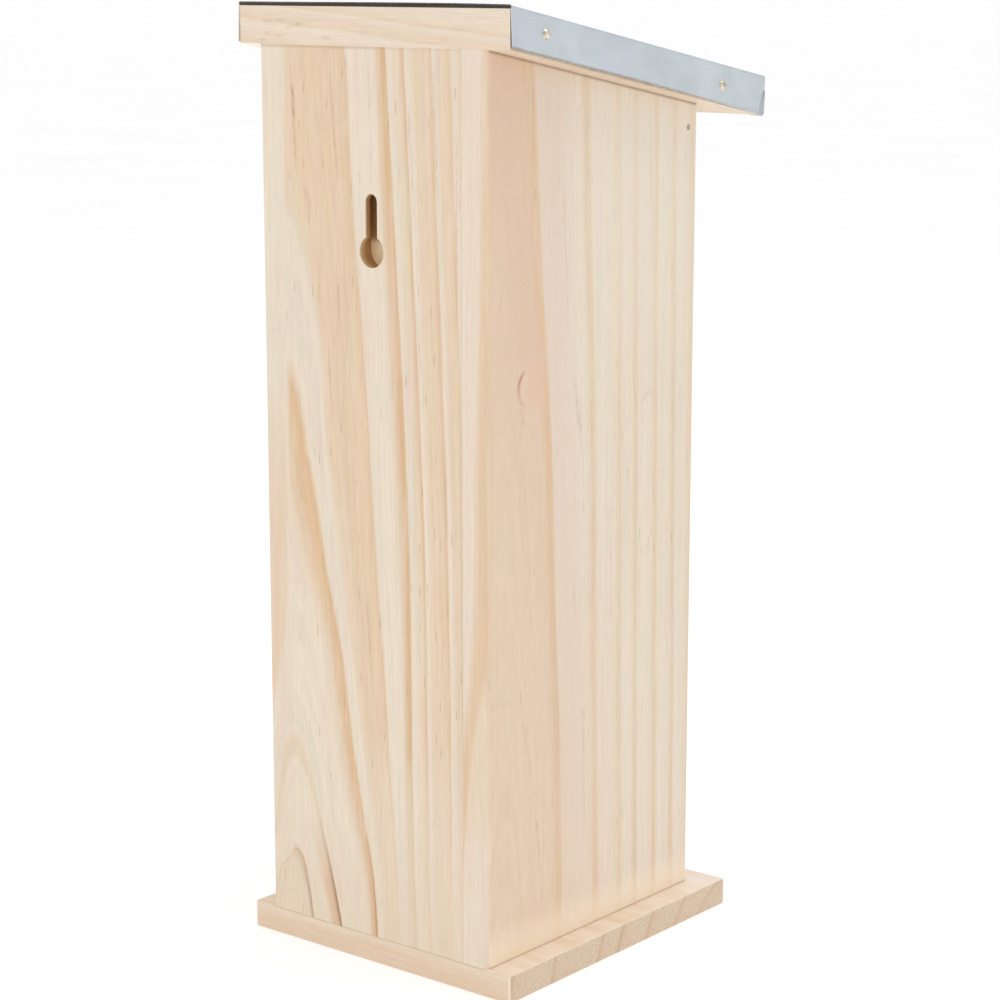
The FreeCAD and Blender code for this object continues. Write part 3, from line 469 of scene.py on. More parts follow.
def back_extra(t, p, n, colour, rough, height, parts):
    """Dark late wood of the inner rings near the bottom, a few single marks, a line of painted shade with some dirt
    under the roof, and the keyhole with painted shade and some router burn in its walls and its floor painted bright as
    painted light.
    """
    x, z = p[0], p[2]
    wave = t.mul(t.sub(parts["fibre"], 0.5), 1.6)
    broken = t.noise(t.vector(t.mul(x, 1.3), 3.0, t.mul(z, 0.3)), 1.0, 2.0, 0.6)
    dashes = t.span(broken, 0.38, 0.6, 0.25, 1.0)

    # pale and plain where the second ring closes on the left, a little straw-coloured at the bottom
    grain = t.add(1.0, t.mul(t.sub(parts["hair"], 0.5), 0.22), t.mul(t.sub(parts["fibre"], 0.5), 0.2))
    plain = t.mul(t.span(x, 38.6, 42.0), t.span(z, 76.0, 86.0), t.span(z, 118.0, 108.0))
    colour = t.mix(t.mul(plain, 0.9), colour, t.mix(1.0, tone(230, 214, 194), t.grey(grain), "MULTIPLY"))
    colour = t.mix(t.span(z, 66.0, 14.0, 0.0, 0.26), colour, tone(224, 203, 174))

    # the third ring's left leg, broad and soft
    leg = along(t, z, [(0, 52), (78, 51.6), (90, 48.5), (100, 46), (110, 43), (120, 41.4), (165, 40.4), (340, 40.4)], 40.0, 54.0)
    soft = t.mul(
        t.span(t.add(t.sub(x, leg), t.mul(wave, 1.6)), -0.8, 2.0), t.span(z, 150.0, 214.0, 1.0, 0.0), t.span(z, 72.0, 92.0)
    )
    colour = t.mix(t.mul(soft, 0.85), colour, t.mix(t.span(parts["tint"], 0.4, 0.6), tone(226, 200, 170), tone(231, 205, 184)))

    low = t.span(z, 18.0, 54.0, 1.0, 0.0)
    inner = t.span(parts["ring"], 2.98, 3.0, 1.0, 0.0)
    ragged = t.add(parts["to_edge"], t.mul(t.sub(parts["hair"], 0.5), 0.8))
    dark = t.mul(low, inner, t.span(ragged, 0.1, 1.4, 1.0, 0.0), t.span(parts["ring"], 0.98, 1.0, 0.6, 1.0))
    right = t.span(x, 41.0, 38.5, 0.12, 1.0)
    glow = t.mul(low, inner, t.span(parts["ring"], 0.98, 1.0), t.span(ragged, 0.5, 1.2), t.span(ragged, 4.0, 1.8))
    colour = t.mix(t.mul(glow, right, 0.62), colour, tone(216, 170, 130))
    colour = t.mix(t.mul(dark, right, 0.85), colour, tone(162, 118, 82))

    brown = [
        stroke(t, x, z, (37.0, 319.0), (33.4, 270.0), 0.7, 0.34, wave, dashes),
        stroke(t, x, z, (35.4, 309.0), (34.6, 293.0), 0.8, 0.5, wave, dashes),
        stroke(t, x, z, (18.6, 318.0), (14.8, 273.0), 0.6, 0.34, wave, dashes),
        stroke(t, x, z, (30.5, 275.0), (27.4, 262.0), 1.6, 0.16, wave),
        stroke(t, x, z, (1.0, 318.0), (0.4, 294.0), 0.5, 0.22, wave, dashes),
        stroke(t, x, z, (-27.4, 319.0), (-29.4, 266.0), 0.6, 0.34, wave, dashes),
        stroke(t, x, z, (-16.8, 304.0), (-18.6, 268.0), 0.6, 0.3, wave, dashes),
        stroke(t, x, z, (15.4, 244.0), (15.0, 226.0), 0.7, 0.4, wave, dashes),
        stroke(t, x, z, (23.8, 252.0), (24.6, 230.0), 0.6, 0.24, wave, dashes),
        stroke(t, x, z, (11.0, 238.0), (10.4, 218.0), 0.6, 0.26, wave, dashes),
        stroke(t, x, z, (20.4, 224.0), (18.6, 188.0), 0.6, 0.26, wave, dashes),
        stroke(t, x, z, (-20.2, 232.0), (-21.6, 212.0), 0.6, 0.28, wave, dashes),
        stroke(t, x, z, (-31.6, 192.0), (-32.4, 156.0), 0.8, 0.3, wave, dashes),
        stroke(t, x, z, (-37.4, 300.0), (-37.2, 226.0), 0.6, 0.24, wave, dashes),
        stroke(t, x, z, (4.0, 136.0), (1.0, 96.0), 0.7, 0.26, wave, dashes),
    ]
    face = t.span(n[1], 0.5, 0.9)
    colour = t.mix(t.mul(t.add(*brown), face), colour, tone(170, 130, 102))

    # painted shade with some dirt in the joint with the roof, and dirt in the joint with the side board
    top = t.mul(t.span(z, 319.1, 320.1), t.span(t.add(x, t.mul(wave, 6.0)), -18.0, 4.0, 0.3, 1.0), 0.3)
    seam = t.mul(t.span(x, -39.0, -39.4), t.span(broken, 0.3, 0.6, 0.3, 1.0), t.span(z, 170.0, 150.0, 0.18, 0.45), t.span(z, 70.0, 96.0, 0.4, 1.0))
    colour = t.mix(t.mul(t.math("MAXIMUM", top, seam), face), colour, tone(158, 124, 94))

    # keyhole: walls browner deeper in as painted shade with some router burn, floor painted bright as painted light,
    # neck burnt and painted darker deeper in as painted shade
    deep = t.sub(64.25, p[1])
    inside = t.mul(
        t.span(deep, 0.25, 0.8),
        t.span(t.math("ABSOLUTE", x), 7.0, 8.0, 1.0, 0.0),
        t.span(z, 243.0, 245.0),
        t.span(z, 276.0, 278.0, 1.0, 0.0),
    )
    neck = t.span(z, 254.2, 257.2)
    wall = t.mix(t.span(deep, 0.4, 4.5), tone(216, 178, 132), tone(186, 146, 100))
    entry = t.mix(t.span(deep, 6.2, 6.45), wall, tone(255, 231, 191))
    neck_burn_and_shade = t.mix(t.span(deep, 0.6, 2.6), tone(198, 154, 104), tone(182, 140, 90))
    keyhole_burn_and_shade = t.mix(neck, entry, neck_burn_and_shade)
    grain = t.add(1.0, t.mul(t.sub(parts["hair"], 0.5), 0.35))
    keyhole_burn_and_shade = t.mix(1.0, keyhole_burn_and_shade, t.grey(grain), "MULTIPLY")
    colour = t.mix(inside, colour, keyhole_burn_and_shade)
    return colour, rough, height


def side_bend(t, p, off):
    """The rings lean back at the top and forward below the pin knot."""
    points = [(0, 2.4), (20, 2.6), (60, 3.4), (92, 3.3), (115, 2.1), (145, 1.7), (178, 1.9), (203, 0.7), (228, -0.6), (242, -1.5), (275, -2.3), (320, -2.8), (340, -2.9)]
    lean = along(t, p[2], points, -5.0, 5.0)
    fade = t.span(off, -72.0, -16.0, 0.0, 1.0)
    return t.add(off, t.mul(lean, fade))


def side_reach(t, z):
    """How far in from the outer face the strong ring comes out on the board's rear edge."""
    points = [(0, 22.0), (43, 17.0), (86, 11.5), (111, 8.4), (132, 6.6), (190, 4.9), (256, 3.7), (319, 2.5), (340, 2.2)]
    return along(t, z, points, 0.0, 24.0)


def side_reshape(t, p, radius):
    """Across the board's rear edge the rings come out fast: the strong ring runs up the edge."""
    reach = side_reach(t, p[2])
    inset = t.math("MAXIMUM", t.add(p[0], 50.5), 0.0)
    s = t.math("DIVIDE", inset, reach)
    s4 = t.math("MINIMUM", t.square(t.square(s)), 2.6)
    rear = t.span(p[1], 44.0, 60.0)
    return t.add(radius, t.mul(t.sub(33.0, radius), s4, rear))


def side_fade(t, p, off):
    """On the board's rear edge the strong ring has no dark line of its own."""
    strip = t.span(p[1], 60.0, 63.6)
    return 1.0, t.sub(1.0, t.mul(strip, 0.65))


def side_extra(t, p, n, colour, rough, height, parts):
    """Pink wood behind the strong ring, a pin knot with the fibres parted round it, single marks."""
    face = t.span(p[0], -49.6, -50.3)
    strip = t.span(n[1], 0.25, 0.95)
    x, y, z = p
    wave = t.mul(t.sub(parts["fibre"], 0.5), 1.2)
    broken = t.noise(t.vector(5.0, t.mul(y, 1.3), t.mul(z, 0.3)), 1.0, 2.0, 0.6)
    dashes = t.span(broken, 0.38, 0.6, 0.2, 1.0)
    inner = t.span(parts["ring"], 0.92, 1.0, 1.0, 0.0)

    # pink behind the strong ring, tan lower down, straw towards the bottom in front of it
    pink = t.math(
        "MAXIMUM", t.span(t.add(z, t.mul(wave, 8.0)), 244.0, 296.0),
        t.mul(t.span(t.add(z, t.mul(wave, 6.0)), 200.0, 224.0), t.span(t.add(y, t.mul(wave, 1.2)), 61.0, 45.0)),
    )
    deep = t.math("MAXIMUM", t.span(t.add(y, wave), 48.5, 54.0), t.span(t.add(z, t.mul(wave, 6.0)), 217.0, 203.0))
    deep = t.mul(deep, t.span(z, 300.0, 288.0), t.span(z, 120.0, 180.0, 0.55, 1.0), inner, face)
    colour = t.mix(t.mul(deep, 0.42), colour, tone(222, 192, 166))
    colour = t.mix(t.mul(pink, inner, face, 0.72), colour, tone(222, 191, 166))
    front = t.mul(t.span(parts["ring"], 1.0, 1.05), t.span(parts["ring"], 1.3, 1.8, 1.0, 0.0), face)
    colour = t.mix(t.mul(front, 0.46), colour, tone(223, 201, 183))
    pale = t.mul(t.span(z, 190.0, 260.0), t.span(y, 22.0, 2.0), face)
    colour = t.mix(t.mul(pale, 0.34), colour, tone(234, 225, 209))
    warm = t.mul(t.span(z, 170.0, 50.0), t.span(y, -12.0, 10.0), t.sub(1.0, inner), face)
    colour = t.mix(t.mul(warm, 0.5), colour, tone(228, 204, 180))
    colour = t.mix(t.mul(parts["line"], t.span(z, 76.0, 26.0), face, 0.5), colour, tone(222, 184, 146))

    # the same wood seen on the board's rear edge, with an arch at its foot
    d = t.add(x, 50.5)
    foot = t.sub(z, t.sub(112.0, t.add(t.mul(d, 0.5), t.mul(t.square(d), 0.5))))
    above = t.span(t.add(foot, t.mul(wave, 7.0)), -9.0, 7.0)
    within = t.span(t.add(t.sub(d, side_reach(t, z)), t.mul(wave, 1.6)), -2.6, 1.1, 1.0, 0.0)
    orange = t.mul(within, above, t.span(z, 236.0, 300.0, 1.0, 0.75), t.span(parts["tint"], 0.3, 0.65, 0.75, 1.0))
    edge = t.mix(orange, t.mix(t.span(parts["tint"], 0.35, 0.65), tone(231, 218, 198), tone(233, 214, 196)), tone(224, 193, 159))
    edge = t.mix(t.mul(t.sub(1.0, above), t.span(z, 44.0, 76.0), 0.6), edge, tone(227, 206, 177))
    grain = t.add(1.0, t.mul(t.sub(parts["hair"], 0.5), 0.24), t.mul(t.sub(parts["fibre"], 0.5), 0.24))
    colour = t.mix(t.mul(strip, 0.88), colour, t.mix(1.0, edge, t.grey(grain), "MULTIPLY"))
    # greyer where the strong ring narrows, painted light making the foot paler, a line of painted shade in the joint
    # with the base
    band = t.mul(parts["line"], t.span(parts["ring"], 1.05, 1.0), t.span(z, 136.0, 108.0), t.span(z, 52.0, 80.0), face)
    colour = t.mix(t.mul(band, 0.4), colour, tone(208, 178, 152))
    colour = t.mix(t.mul(t.span(t.add(z, t.mul(wave, 9.0)), 27.0, 10.5), face, 0.72), colour, tone(254, 236, 211))
    colour = t.mix(t.mul(t.span(z, 10.9, 10.4), face, t.span(broken, 0.3, 0.6, 0.3, 1.0), 0.5), colour, tone(170, 132, 98))

    dy, dz = t.add(t.sub(y, 48.2), t.mul(wave, 1.5)), t.sub(z, 208.6)
    bow = t.add(dy, t.mul(t.square(dz), 0.085))
    arc = t.mul(
        t.span(t.math("ABSOLUTE", bow), 0.3, 1.5, 1.0, 0.0),
        t.span(t.math("ABSOLUTE", dz), 4.6, 7.0, 1.0, 0.0),
        t.span(dz, -6.0, 4.0, 0.45, 1.0),
        t.span(broken, 0.34, 0.58, 0.2, 1.0),
    )
    colour = t.mix(t.mul(arc, face, 0.9), colour, tone(190, 142, 118))
    glow = t.mul(
        t.span(t.math("ABSOLUTE", t.add(bow, 2.0)), 0.3, 1.8, 1.0, 0.0), t.span(t.math("ABSOLUTE", dz), 2.5, 5.5, 1.0, 0.0)
    )
    colour = t.mix(t.mul(glow, face, 0.45), colour, tone(236, 204, 184))
    tail = stroke(t, y, z, (46.8, 204.0), (45.2, 194.0), 1.2, 0.4, wave, dashes)
    colour = t.mix(t.mul(tail, face), colour, tone(202, 166, 142))
    blush = t.mul(
        t.span(t.math("ABSOLUTE", t.sub(y, 38.5)), 2.0, 7.0, 1.0, 0.0), t.span(t.math("ABSOLUTE", t.sub(z, 210.0)), 4.0, 11.0, 1.0, 0.0), inner
    )
    colour = t.mix(t.mul(blush, face, 0.5), colour, tone(229, 190, 160))

    sy, sz = t.add(t.sub(y, -25.5), wave), t.sub(z, 192.5)
    hook = t.math("ABSOLUTE", t.sub(t.math("SQRT", t.add(t.square(t.mul(sy, 0.36)), t.square(t.mul(sz, 0.26)))), 1.7))
    swirl = t.mul(t.span(hook, 0.1, 0.42, 1.0, 0.0), t.span(sz, 1.0, 5.0))
    colour = t.mix(t.mul(swirl, face, 0.22, dashes), colour, tone(196, 172, 140))

    # a ring marked only by a line of resin specks
    bank = along(t, z, [(0, 33), (30, 35), (50, 37), (63, 39), (80, 42), (95, 46), (101, 50), (340, 52)], 30.0, 54.0)
    away = t.math("ABSOLUTE", t.add(t.sub(y, bank), wave))
    specks = t.mul(t.span(away, 0.3, 1.3, 1.0, 0.0), t.span(z, 16.0, 30.0), t.span(z, 96.0, 99.0, 1.0, 0.0), t.span(broken, 0.44, 0.6))
    away = t.math("ABSOLUTE", t.add(t.sub(z, 102.5), t.mul(wave, 4.0)))
    crest = t.mul(t.span(away, 0.3, 2.2, 1.0, 0.0), t.span(y, 47.0, 51.0), 0.4)
    colour = t.mix(t.mul(t.math("MAXIMUM", specks, crest), dashes, face, 0.28), colour, tone(188, 158, 126))

    marks = [
        stroke(t, y, z, (24.4, 280.0), (22.0, 236.0), 0.6, 0.26, wave, dashes),
        stroke(t, y, z, (18.6, 214.0), (13.8, 186.0), 1.1, 0.36, wave, dashes),
        stroke(t, y, z, (14.8, 206.0), (13.6, 180.0), 0.6, 0.3, wave, dashes),
        stroke(t, y, z, (18.0, 140.0), (16.5, 124.0), 0.9, 0.32, wave, dashes),
        stroke(t, y, z, (-2.6, 168.0), (-4.4, 116.0), 0.6, 0.24, wave, dashes),
        stroke(t, y, z, (11.6, 100.0), (10.4, 40.0), 0.8, 0.26, wave, dashes),
        stroke(t, y, z, (-28.0, 172.0), (-29.0, 158.0), 0.7, 0.34, wave, dashes),
        stroke(t, y, z, (-24.2, 300.0), (-27.0, 236.0), 0.6, 0.22, wave, dashes),
        stroke(t, y, z, (-15.0, 214.0), (-18.4, 188.0), 0.6, 0.3, wave, dashes),
        stroke(t, y, z, (56.4, 244.0), (58.6, 234.0), 0.7, 0.22, wave, dashes),
    ]
    colour = t.mix(t.mul(t.add(*marks), face, 0.85), colour, tone(172, 146, 120))

    # painted shade with some dirt in the joint with the roof
    under = t.sub(t.add(t.mul(t.sub(y, 64.25), 21.4 / 117), 320.4), z)
    top = t.mul(t.span(under, 0.25, 1.3, 1.0, 0.0), face, 0.62)
    colour = t.mix(top, colour, tone(150, 112, 82))
    return colour, rough, height


def base_extra(t, p, n, colour, rough, height, parts):
    """The base plate's top is painted paler as painted light, with faint bands, and its upright arrises carry a painted
    highlight.
    """
    top = t.span(n[2], 0.5, 0.95)
    bands = t.noise(t.vector(t.mul(p[0], 0.02), t.add(t.mul(p[1], 0.17), 4.0), 2.0), 1.0, 2.0, 0.6)
    plain = t.mix(t.span(bands, 0.4, 0.62), tone(247, 231, 212), tone(238, 214, 188))
    # painted light: the top paler overall, and paler still towards the front
    colour = t.mix(t.mul(top, 0.66), colour, plain)
    colour = t.mix(t.mul(top, t.span(p[1], -16.0, -60.0, 0.0, 0.6)), colour, tone(241, 227, 216))
    # painted highlight on the upright arrises
    corner = t.math("ABSOLUTE", t.mul(n[0], n[1]))
    colour = t.mix(t.span(corner, 0.12, 0.4, 0.0, 0.7), colour, tone(246, 232, 212))
    return colour, rough, height


def roof_fade(t, p, off):
    """The roof board's figure is faint."""
    return 0.6, 0.6


def roof_extra(t, p, n, colour, rough, height, parts):
    """Short resin flecks on the roof board's rear edge, and painted light on the underside near its +X end."""
    x, y, z = p
    wave = t.mul(t.sub(parts["hair"], 0.5), 2.4)
    flecks = [
        stroke(t, z, x, (328.6, 50.0), (328.2, 44.0), 0.8, 0.45, wave),
        stroke(t, z, x, (328.8, 43.6), (328.4, 38.0), 0.8, 0.42, wave),
        stroke(t, z, x, (326.2, 38.8), (326.5, 34.6), 0.8, 0.34, wave),
        stroke(t, z, x, (327.0, 35.2), (327.3, 30.6), 0.8, 0.45, wave),
        stroke(t, z, x, (324.3, 49.0), (324.0, 45.0), 0.8, 0.5, wave),
        stroke(t, z, x, (323.6, 43.4), (323.3, 39.0), 0.8, 0.55, wave),
        stroke(t, z, x, (322.2, 51.0), (322.0, 47.4), 0.8, 0.4, wave),
        stroke(t, z, x, (323.2, 22.0), (323.0, 17.0), 0.8, 0.38, wave),
        stroke(t, z, x, (323.8, -30.0), (323.2, -34.0), 0.8, 0.32, wave),
    ]
    ragged = t.span(parts["fibre"], 0.36, 0.6, 0.15, 0.85)
    colour = t.mix(t.mul(t.add(*flecks), ragged, t.span(n[1], 0.5, 0.9)), colour, tone(182, 150, 118))
    # painted light: the underside near the +X end painted pale
    lift = t.sub(z, t.add(t.mul(t.sub(y, 64.25), 21.4 / 117), 320.4))
    colour = t.mix(t.mul(t.span(lift, 0.6, 0.1), t.span(x, 50.0, 51.0)), colour, tone(250, 241, 230))
    return colour, rough, height


# radius, line, tan, straw, width of the line, softness outside, start of the tan, its softness
back_rings = [
    (14.0, 0.3, 0.7, 0.5, 0.9, 0.5, 0.0, 0.2),
    (20.5, 0.34, 0.12, 0.3, 1.3, 0.6, 0.3, 0.6),
    (33.9, 0.95, 0.25, 0.1, 5.2, 0.9, 0.45, 0.5),
    (49.3, 0.4, 1.0, 0.3, 1.8, 0.9, 0.24, 0.2),
    (62.4, 1.0, 0.25, 0.1, 4.9, 0.9, 0.5, 0.4),
    (68.6, 0.85, 0.55, 0.05, 1.5, 0.6, 0.2, 0.5),
    (78.1, 0.5, 0.85, 0.15, 1.8, 0.8, 0.1, 0.4),
    (85.0, 0.45, 0.75, 0.4, 1.8, 0.8, 0.1, 0.4),
    (93.0, 0.5, 0.75, 0.3, 1.8, 0.8, 0.1, 0.4),
]
side_rings = [
    (33.0, 0.74, 0.9, 0.05, 4.4, 1.6, 0.0, 0.02),
    (54.3, 0.64, 0.14, 0.35, 3.5, 3.0, 0.4, 0.6),
    (69.1, 0.42, 0.2, 0.7, 3.2, 3.0, 0.3, 0.6),
    (78.5, 0.52, 0.2, 0.7, 2.6, 2.0, 0.3, 0.6),
    (90.0, 0.54, 0.2, 0.55, 2.8, 2.1, 0.3, 0.6),
    (100.7, 0.48, 0.2, 0.65, 3.0, 2.1, 0.3, 0.6),
    (111.0, 0.46, 0.25, 0.7, 3.0, 2.3, 0.3, 0.6),
]
base_rings = [
    (27.0, 0.2, 0.3, 0.4, 2.0, 1.4, 0.2, 0.8),
    (38.0, 0.2, 0.3, 0.4, 2.0, 1.4, 0.2, 0.8),
    (50.0, 0.25, 0.3, 0.4, 2.0, 1.4, 0.2, 0.8),
    (66.0, 0.3, 0.35, 0.3, 2.4, 1.6, 0.2, 0.8),
    (82.0, 0.36, 0.35, 0.2, 2.6, 1.6, 0.2, 0.8),
    (93.0, 0.32, 0.35, 0.3, 2.2, 1.6, 0.2, 0.8),
    (119.0, 0.25, 0.35, 0.4, 2.2, 1.6, 0.2, 0.8),
    (142.0, 0.35, 0.5, 0.1, 3.0, 2.2, 0.2, 0.8),
]

wood = {
    "back_panel": pine(
        "pine_back", "xyz", (39.5, 64.0), back_rings, rise=5.6, depth_weight=0.3, seed=1.3, warp=0.45,
        tan=(227, 200, 170), late=(218, 180, 139), flecks=0.54, swell=back_swell, fade=back_fade, extra=back_extra,
    ),
    "left_side_panel": pine(
        "pine_left_side", "yxz", (58.0, -46.0), side_rings, rise=2.2, seed=4.1, warp=0.4,
        cream=(230, 216, 199), tan=(227, 203, 177), flecks=0.5, bend=side_bend, reshape=side_reshape, fade=side_fade,
        extra=side_extra,
    ),
    "right_side_panel": pine(
        "pine_right_side", "yxz", (4.0, 92.0), made_up(5, 36.0, 7.0, 0.35), rise=3.0, seed=8.7
    ),
    "base_plate": pine(
        "pine_base", "yzx", (-75.0, -25.0), base_rings, rise=0.1, seed=12.2, warp=0.35, tan=(229, 200, 170),
        extra=base_extra,
    ),
    "roof_board": pine(
        "pine_roof", "yzx", (30.0, 395.0),
        made_up(17, 44.0, 6.5, 0.4, 11, (0.1, 0.35)), rise=12.0, seed=15.9, flecks=0.7, streaks=0.8,
        cream=(233, 217, 197), fade=roof_fade, extra=roof_extra,
    ),
    "lower_shelf": pine(
        "pine_lower_shelf", "yzx", (12.0, 60.0), made_up(21, 18.0, 8.0, 0.3), rise=2.0, seed=19.0
    ),
    "upper_shelf": pine(
        "pine_upper_shelf", "yzx", (-6.0, 240.0), made_up(23, 18.0, 8.0, 0.3), rise=2.0, seed=22.0
    ),
    "door_left_stile": pine(
        "pine_left_stile", "xyz", (-20.0, -90.0), made_up(27, 20.0, 4.5, 0.3), rise=0.8, seed=25.0, warp=0.7
    ),
    "door_right_stile": pine(
        "pine_right_stile", "xyz", (48.0, -10.0), made_up(29, 20.0, 4.5, 0.3), rise=0.8, seed=28.0, warp=0.7
    ),
    "door_bottom_rail": pine(
        "pine_bottom_rail", "zyx", (10.0, -80.0), made_up(31, 16.0, 4.5, 0.3), rise=1.5, seed=31.0, warp=0.7
    ),
    "door_lower_rail": pine(
        "pine_lower_rail", "zyx", (125.0, -75.0), made_up(33, 16.0, 4.5, 0.3), rise=1.5, seed=34.0, warp=0.7
    ),
    "door_upper_rail": pine(
        "pine_upper_rail", "zyx", (180.0, -78.0), made_up(35, 16.0, 4.5, 0.3), rise=1.5, seed=37.0, warp=0.7
    ),
    "door_top_rail": pine(
        "pine_top_rail", "zyx", (305.0, -85.0), made_up(37, 20.0, 5.0, 0.3), rise=1.5, seed=40.0, warp=0.7
    ),
}


# ---------------------------------------------------------------- metals, felt, cane


def zinc(name, light, dark):
    """Dull galvanised sheet: slow clouds of blue and grey, faint rolling streaks down the slope, a band of painted
    shade along the lower rim.
    """
    t = Tree(name)
    p = t.scaled(t.coords.outputs["Object"], 1000.0)
    q = t.split(p)
    cloud = t.noise(p, 0.05, 3.0, 0.55)
    drift = t.noise(t.vector(t.add(q[0], 40.0), q[1], q[2]), 0.035, 2.0)
    fine = t.noise(p, 0.8, 3.0, 0.6)
    streak = t.noise(t.vector(t.mul(q[0], 1.2), t.mul(q[1], 0.03), t.mul(q[2], 1.2)), 1.0, 3.0, 0.6)
    colour = t.mix(t.span(cloud, 0.25, 0.75), tone(*dark), tone(*light))
    colour = t.mix(t.span(drift, 0.52, 0.72, 0.0, 0.4), colour, tone(206, 208, 222))
    colour = t.mix(t.span(drift, 0.48, 0.28, 0.0, 0.4), colour, tone(205, 217, 216))
    shade = t.add(1.0, t.mul(t.sub(streak, 0.5), 0.08), t.mul(t.sub(fine, 0.5), 0.06))
    colour = t.mix(1.0, colour, t.grey(shade), "MULTIPLY")
    # painted shade along the sheet's lower rim
    lift = t.sub(q[2], t.add(t.mul(t.sub(q[1], 64.25), 21.4 / 117), 320.4))
    rim = t.mul(t.span(lift, 1.7, 1.0), t.span(fine, 0.3, 0.6, 0.5, 1.0), t.span(q[1], -40.0, 0.0, 0.2, 1.0))
    colour = t.mix(t.mul(rim, 0.6), colour, tone(140, 138, 134))
    rough = t.add(0.46, t.mul(t.sub(cloud, 0.5), 0.2), t.mul(t.sub(streak, 0.5), 0.12))
    t.surface(Base_Color=colour, Roughness=rough, Metallic=1.0)
    t.bump(t.add(t.mul(cloud, 1.0), t.mul(fine, 0.1), t.mul(streak, 0.12)), 0.0006, 0.16)
    return t.material


def zinc_edge(name, dark, light, metallic):
    """The sheet's cut edge: dark with dirt and painted shade, or painted pale as painted light."""
    t = Tree(name)
    p = t.scaled(t.coords.outputs["Object"], 1000.0)
    spot = t.noise(p, 1.3, 4.0, 0.65)
    colour = t.mix(t.span(spot, 0.35, 0.7), tone(*dark), tone(*light))
    t.surface(Base_Color=colour, Roughness=t.add(0.6, t.mul(t.sub(spot, 0.5), 0.3)), Metallic=metallic)
    t.bump(spot, 0.0001, 0.3)
    return t.material


def felt():
    """Dark bitumen underlay with fine mineral grain."""
    t = Tree("roof_felt")
    p = t.scaled(t.coords.outputs["Object"], 1000.0)
    grit = t.noise(p, 2.2, 4.0, 0.7)
    cloud = t.noise(p, 0.12, 3.0)
    colour = t.mix(t.span(grit, 0.35, 0.7), tone(46, 40, 35), tone(78, 70, 62))
    colour = t.mix(t.span(cloud, 0.45, 0.7, 0.0, 0.4), colour, tone(66, 55, 46))
    t.surface(Base_Color=colour, Roughness=t.add(0.82, t.mul(grit, 0.12)))
    t.bump(grit, 0.0002, 0.6)
    return t.material


def metal(name, light, dark, rough, seed):
    """A worn small metal fitting: bright and dull in random patches, with fine scratches."""
    t = Tree(name)
    p = t.scaled(t.coords.outputs["Object"], 1000.0)
    q = t.split(p)
    moved = t.vector(t.add(q[0], seed), q[1], q[2])
    tarnish = t.noise(moved, 0.8, 4.0, 0.6)
    scratch = t.noise(t.vector(t.mul(q[0], 0.8), t.mul(q[1], 6.0), t.mul(q[2], 6.0)), 1.0, 2.0)
    colour = t.mix(t.span(tarnish, 0.35, 0.68), tone(*light), tone(*dark))
    shade = t.add(1.0, t.mul(t.sub(scratch, 0.5), 0.16))
    colour = t.mix(1.0, colour, t.grey(shade), "MULTIPLY")
    t.surface(Base_Color=colour, Roughness=t.add(rough, t.mul(t.sub(tarnish, 0.5), 0.3)), Metallic=1.0)
    t.bump(t.add(tarnish, t.mul(scratch, 0.3)), 0.0001, 0.2)
    return t.material


def cane_attribute(t):
    """What the cane meshes carry: two tints of the cane, the place in the wall from bore to skin, and nodes."""
    node = t.tree.nodes.new("ShaderNodeAttribute")
    node.attribute_name = "cane"
    red, green, blue = t.split(node.outputs["Color"])
    return red, green, blue, node.outputs["Alpha"]


def cane_skin():
    """Dry cane skin: straw to brown by the cane, streaked along it, dark and pale rings at the nodes."""
    t = Tree("cane_skin")
    warm, grey, _, joint = cane_attribute(t)
    q = t.split(t.scaled(t.coords.outputs["Object"], 1000.0))
    streak = t.noise(t.vector(t.mul(q[0], 1.1), t.mul(q[1], 0.02), t.mul(q[2], 1.1)), 1.0, 3.0, 0.6)
    spot = t.noise(t.vector(t.mul(q[0], 0.3), t.mul(q[1], 0.06), t.mul(q[2], 0.3)), 1.0, 4.0, 0.65)
    colour = t.mix(warm, tone(228, 204, 152), tone(186, 143, 92))
    colour = t.mix(t.mul(grey, 0.6), colour, tone(196, 182, 154))
    colour = t.mix(t.span(spot, 0.55, 0.75, 0.0, 0.5), colour, tone(158, 120, 76))
    colour = t.mix(t.mul(joint, 0.7), colour, tone(140, 106, 66))
    colour = t.mix(1.0, colour, t.grey(t.add(1.0, t.mul(t.sub(streak, 0.5), 0.3))), "MULTIPLY")
    t.surface(Base_Color=colour, Roughness=t.add(0.42, t.mul(t.sub(spot, 0.5), 0.3)), Specular_IOR_Level=0.4)
    t.bump(t.add(streak, t.mul(spot, 0.4)), 0.0002, 0.3)
    return t.material


def cane_end():
    """The sawn end of a cane: pale wall, dots of vessel bundles that crowd towards the skin."""
    t = Tree("cane_end")
    warm, grey, place, _ = cane_attribute(t)
    p = t.scaled(t.coords.outputs["Object"], 1000.0)
    near, chance = t.cells(p, 1.55)
    pick = t.split(chance)[0]
    dots = t.mul(t.span(near, 0.12, 0.34, 1.0, 0.0), t.span(t.add(pick, t.mul(place, 0.9)), 0.55, 0.8))
    rub = t.noise(p, 0.9, 3.0, 0.6)
    colour = t.mix(place, tone(243, 224, 188), tone(220, 186, 136))
    colour = t.mix(t.mul(warm, 0.6), colour, tone(203, 160, 110))
    colour = t.mix(t.mul(grey, 0.5), colour, tone(218, 208, 184))
    colour = t.mix(t.mul(dots, 0.7), colour, tone(140, 100, 60))
    colour = t.mix(t.span(place, 0.86, 1.0, 0.0, 0.6), colour, tone(164, 126, 78))
    colour = t.mix(1.0, colour, t.grey(t.add(1.0, t.mul(t.sub(rub, 0.5), 0.28))), "MULTIPLY")
    t.surface(Base_Color=colour, Roughness=t.add(0.72, t.mul(t.sub(rub, 0.5), 0.2)), Specular_IOR_Level=0.25)
    t.bump(t.add(rub, t.mul(dots, -0.8)), 0.0002, 0.4)
    return t.material


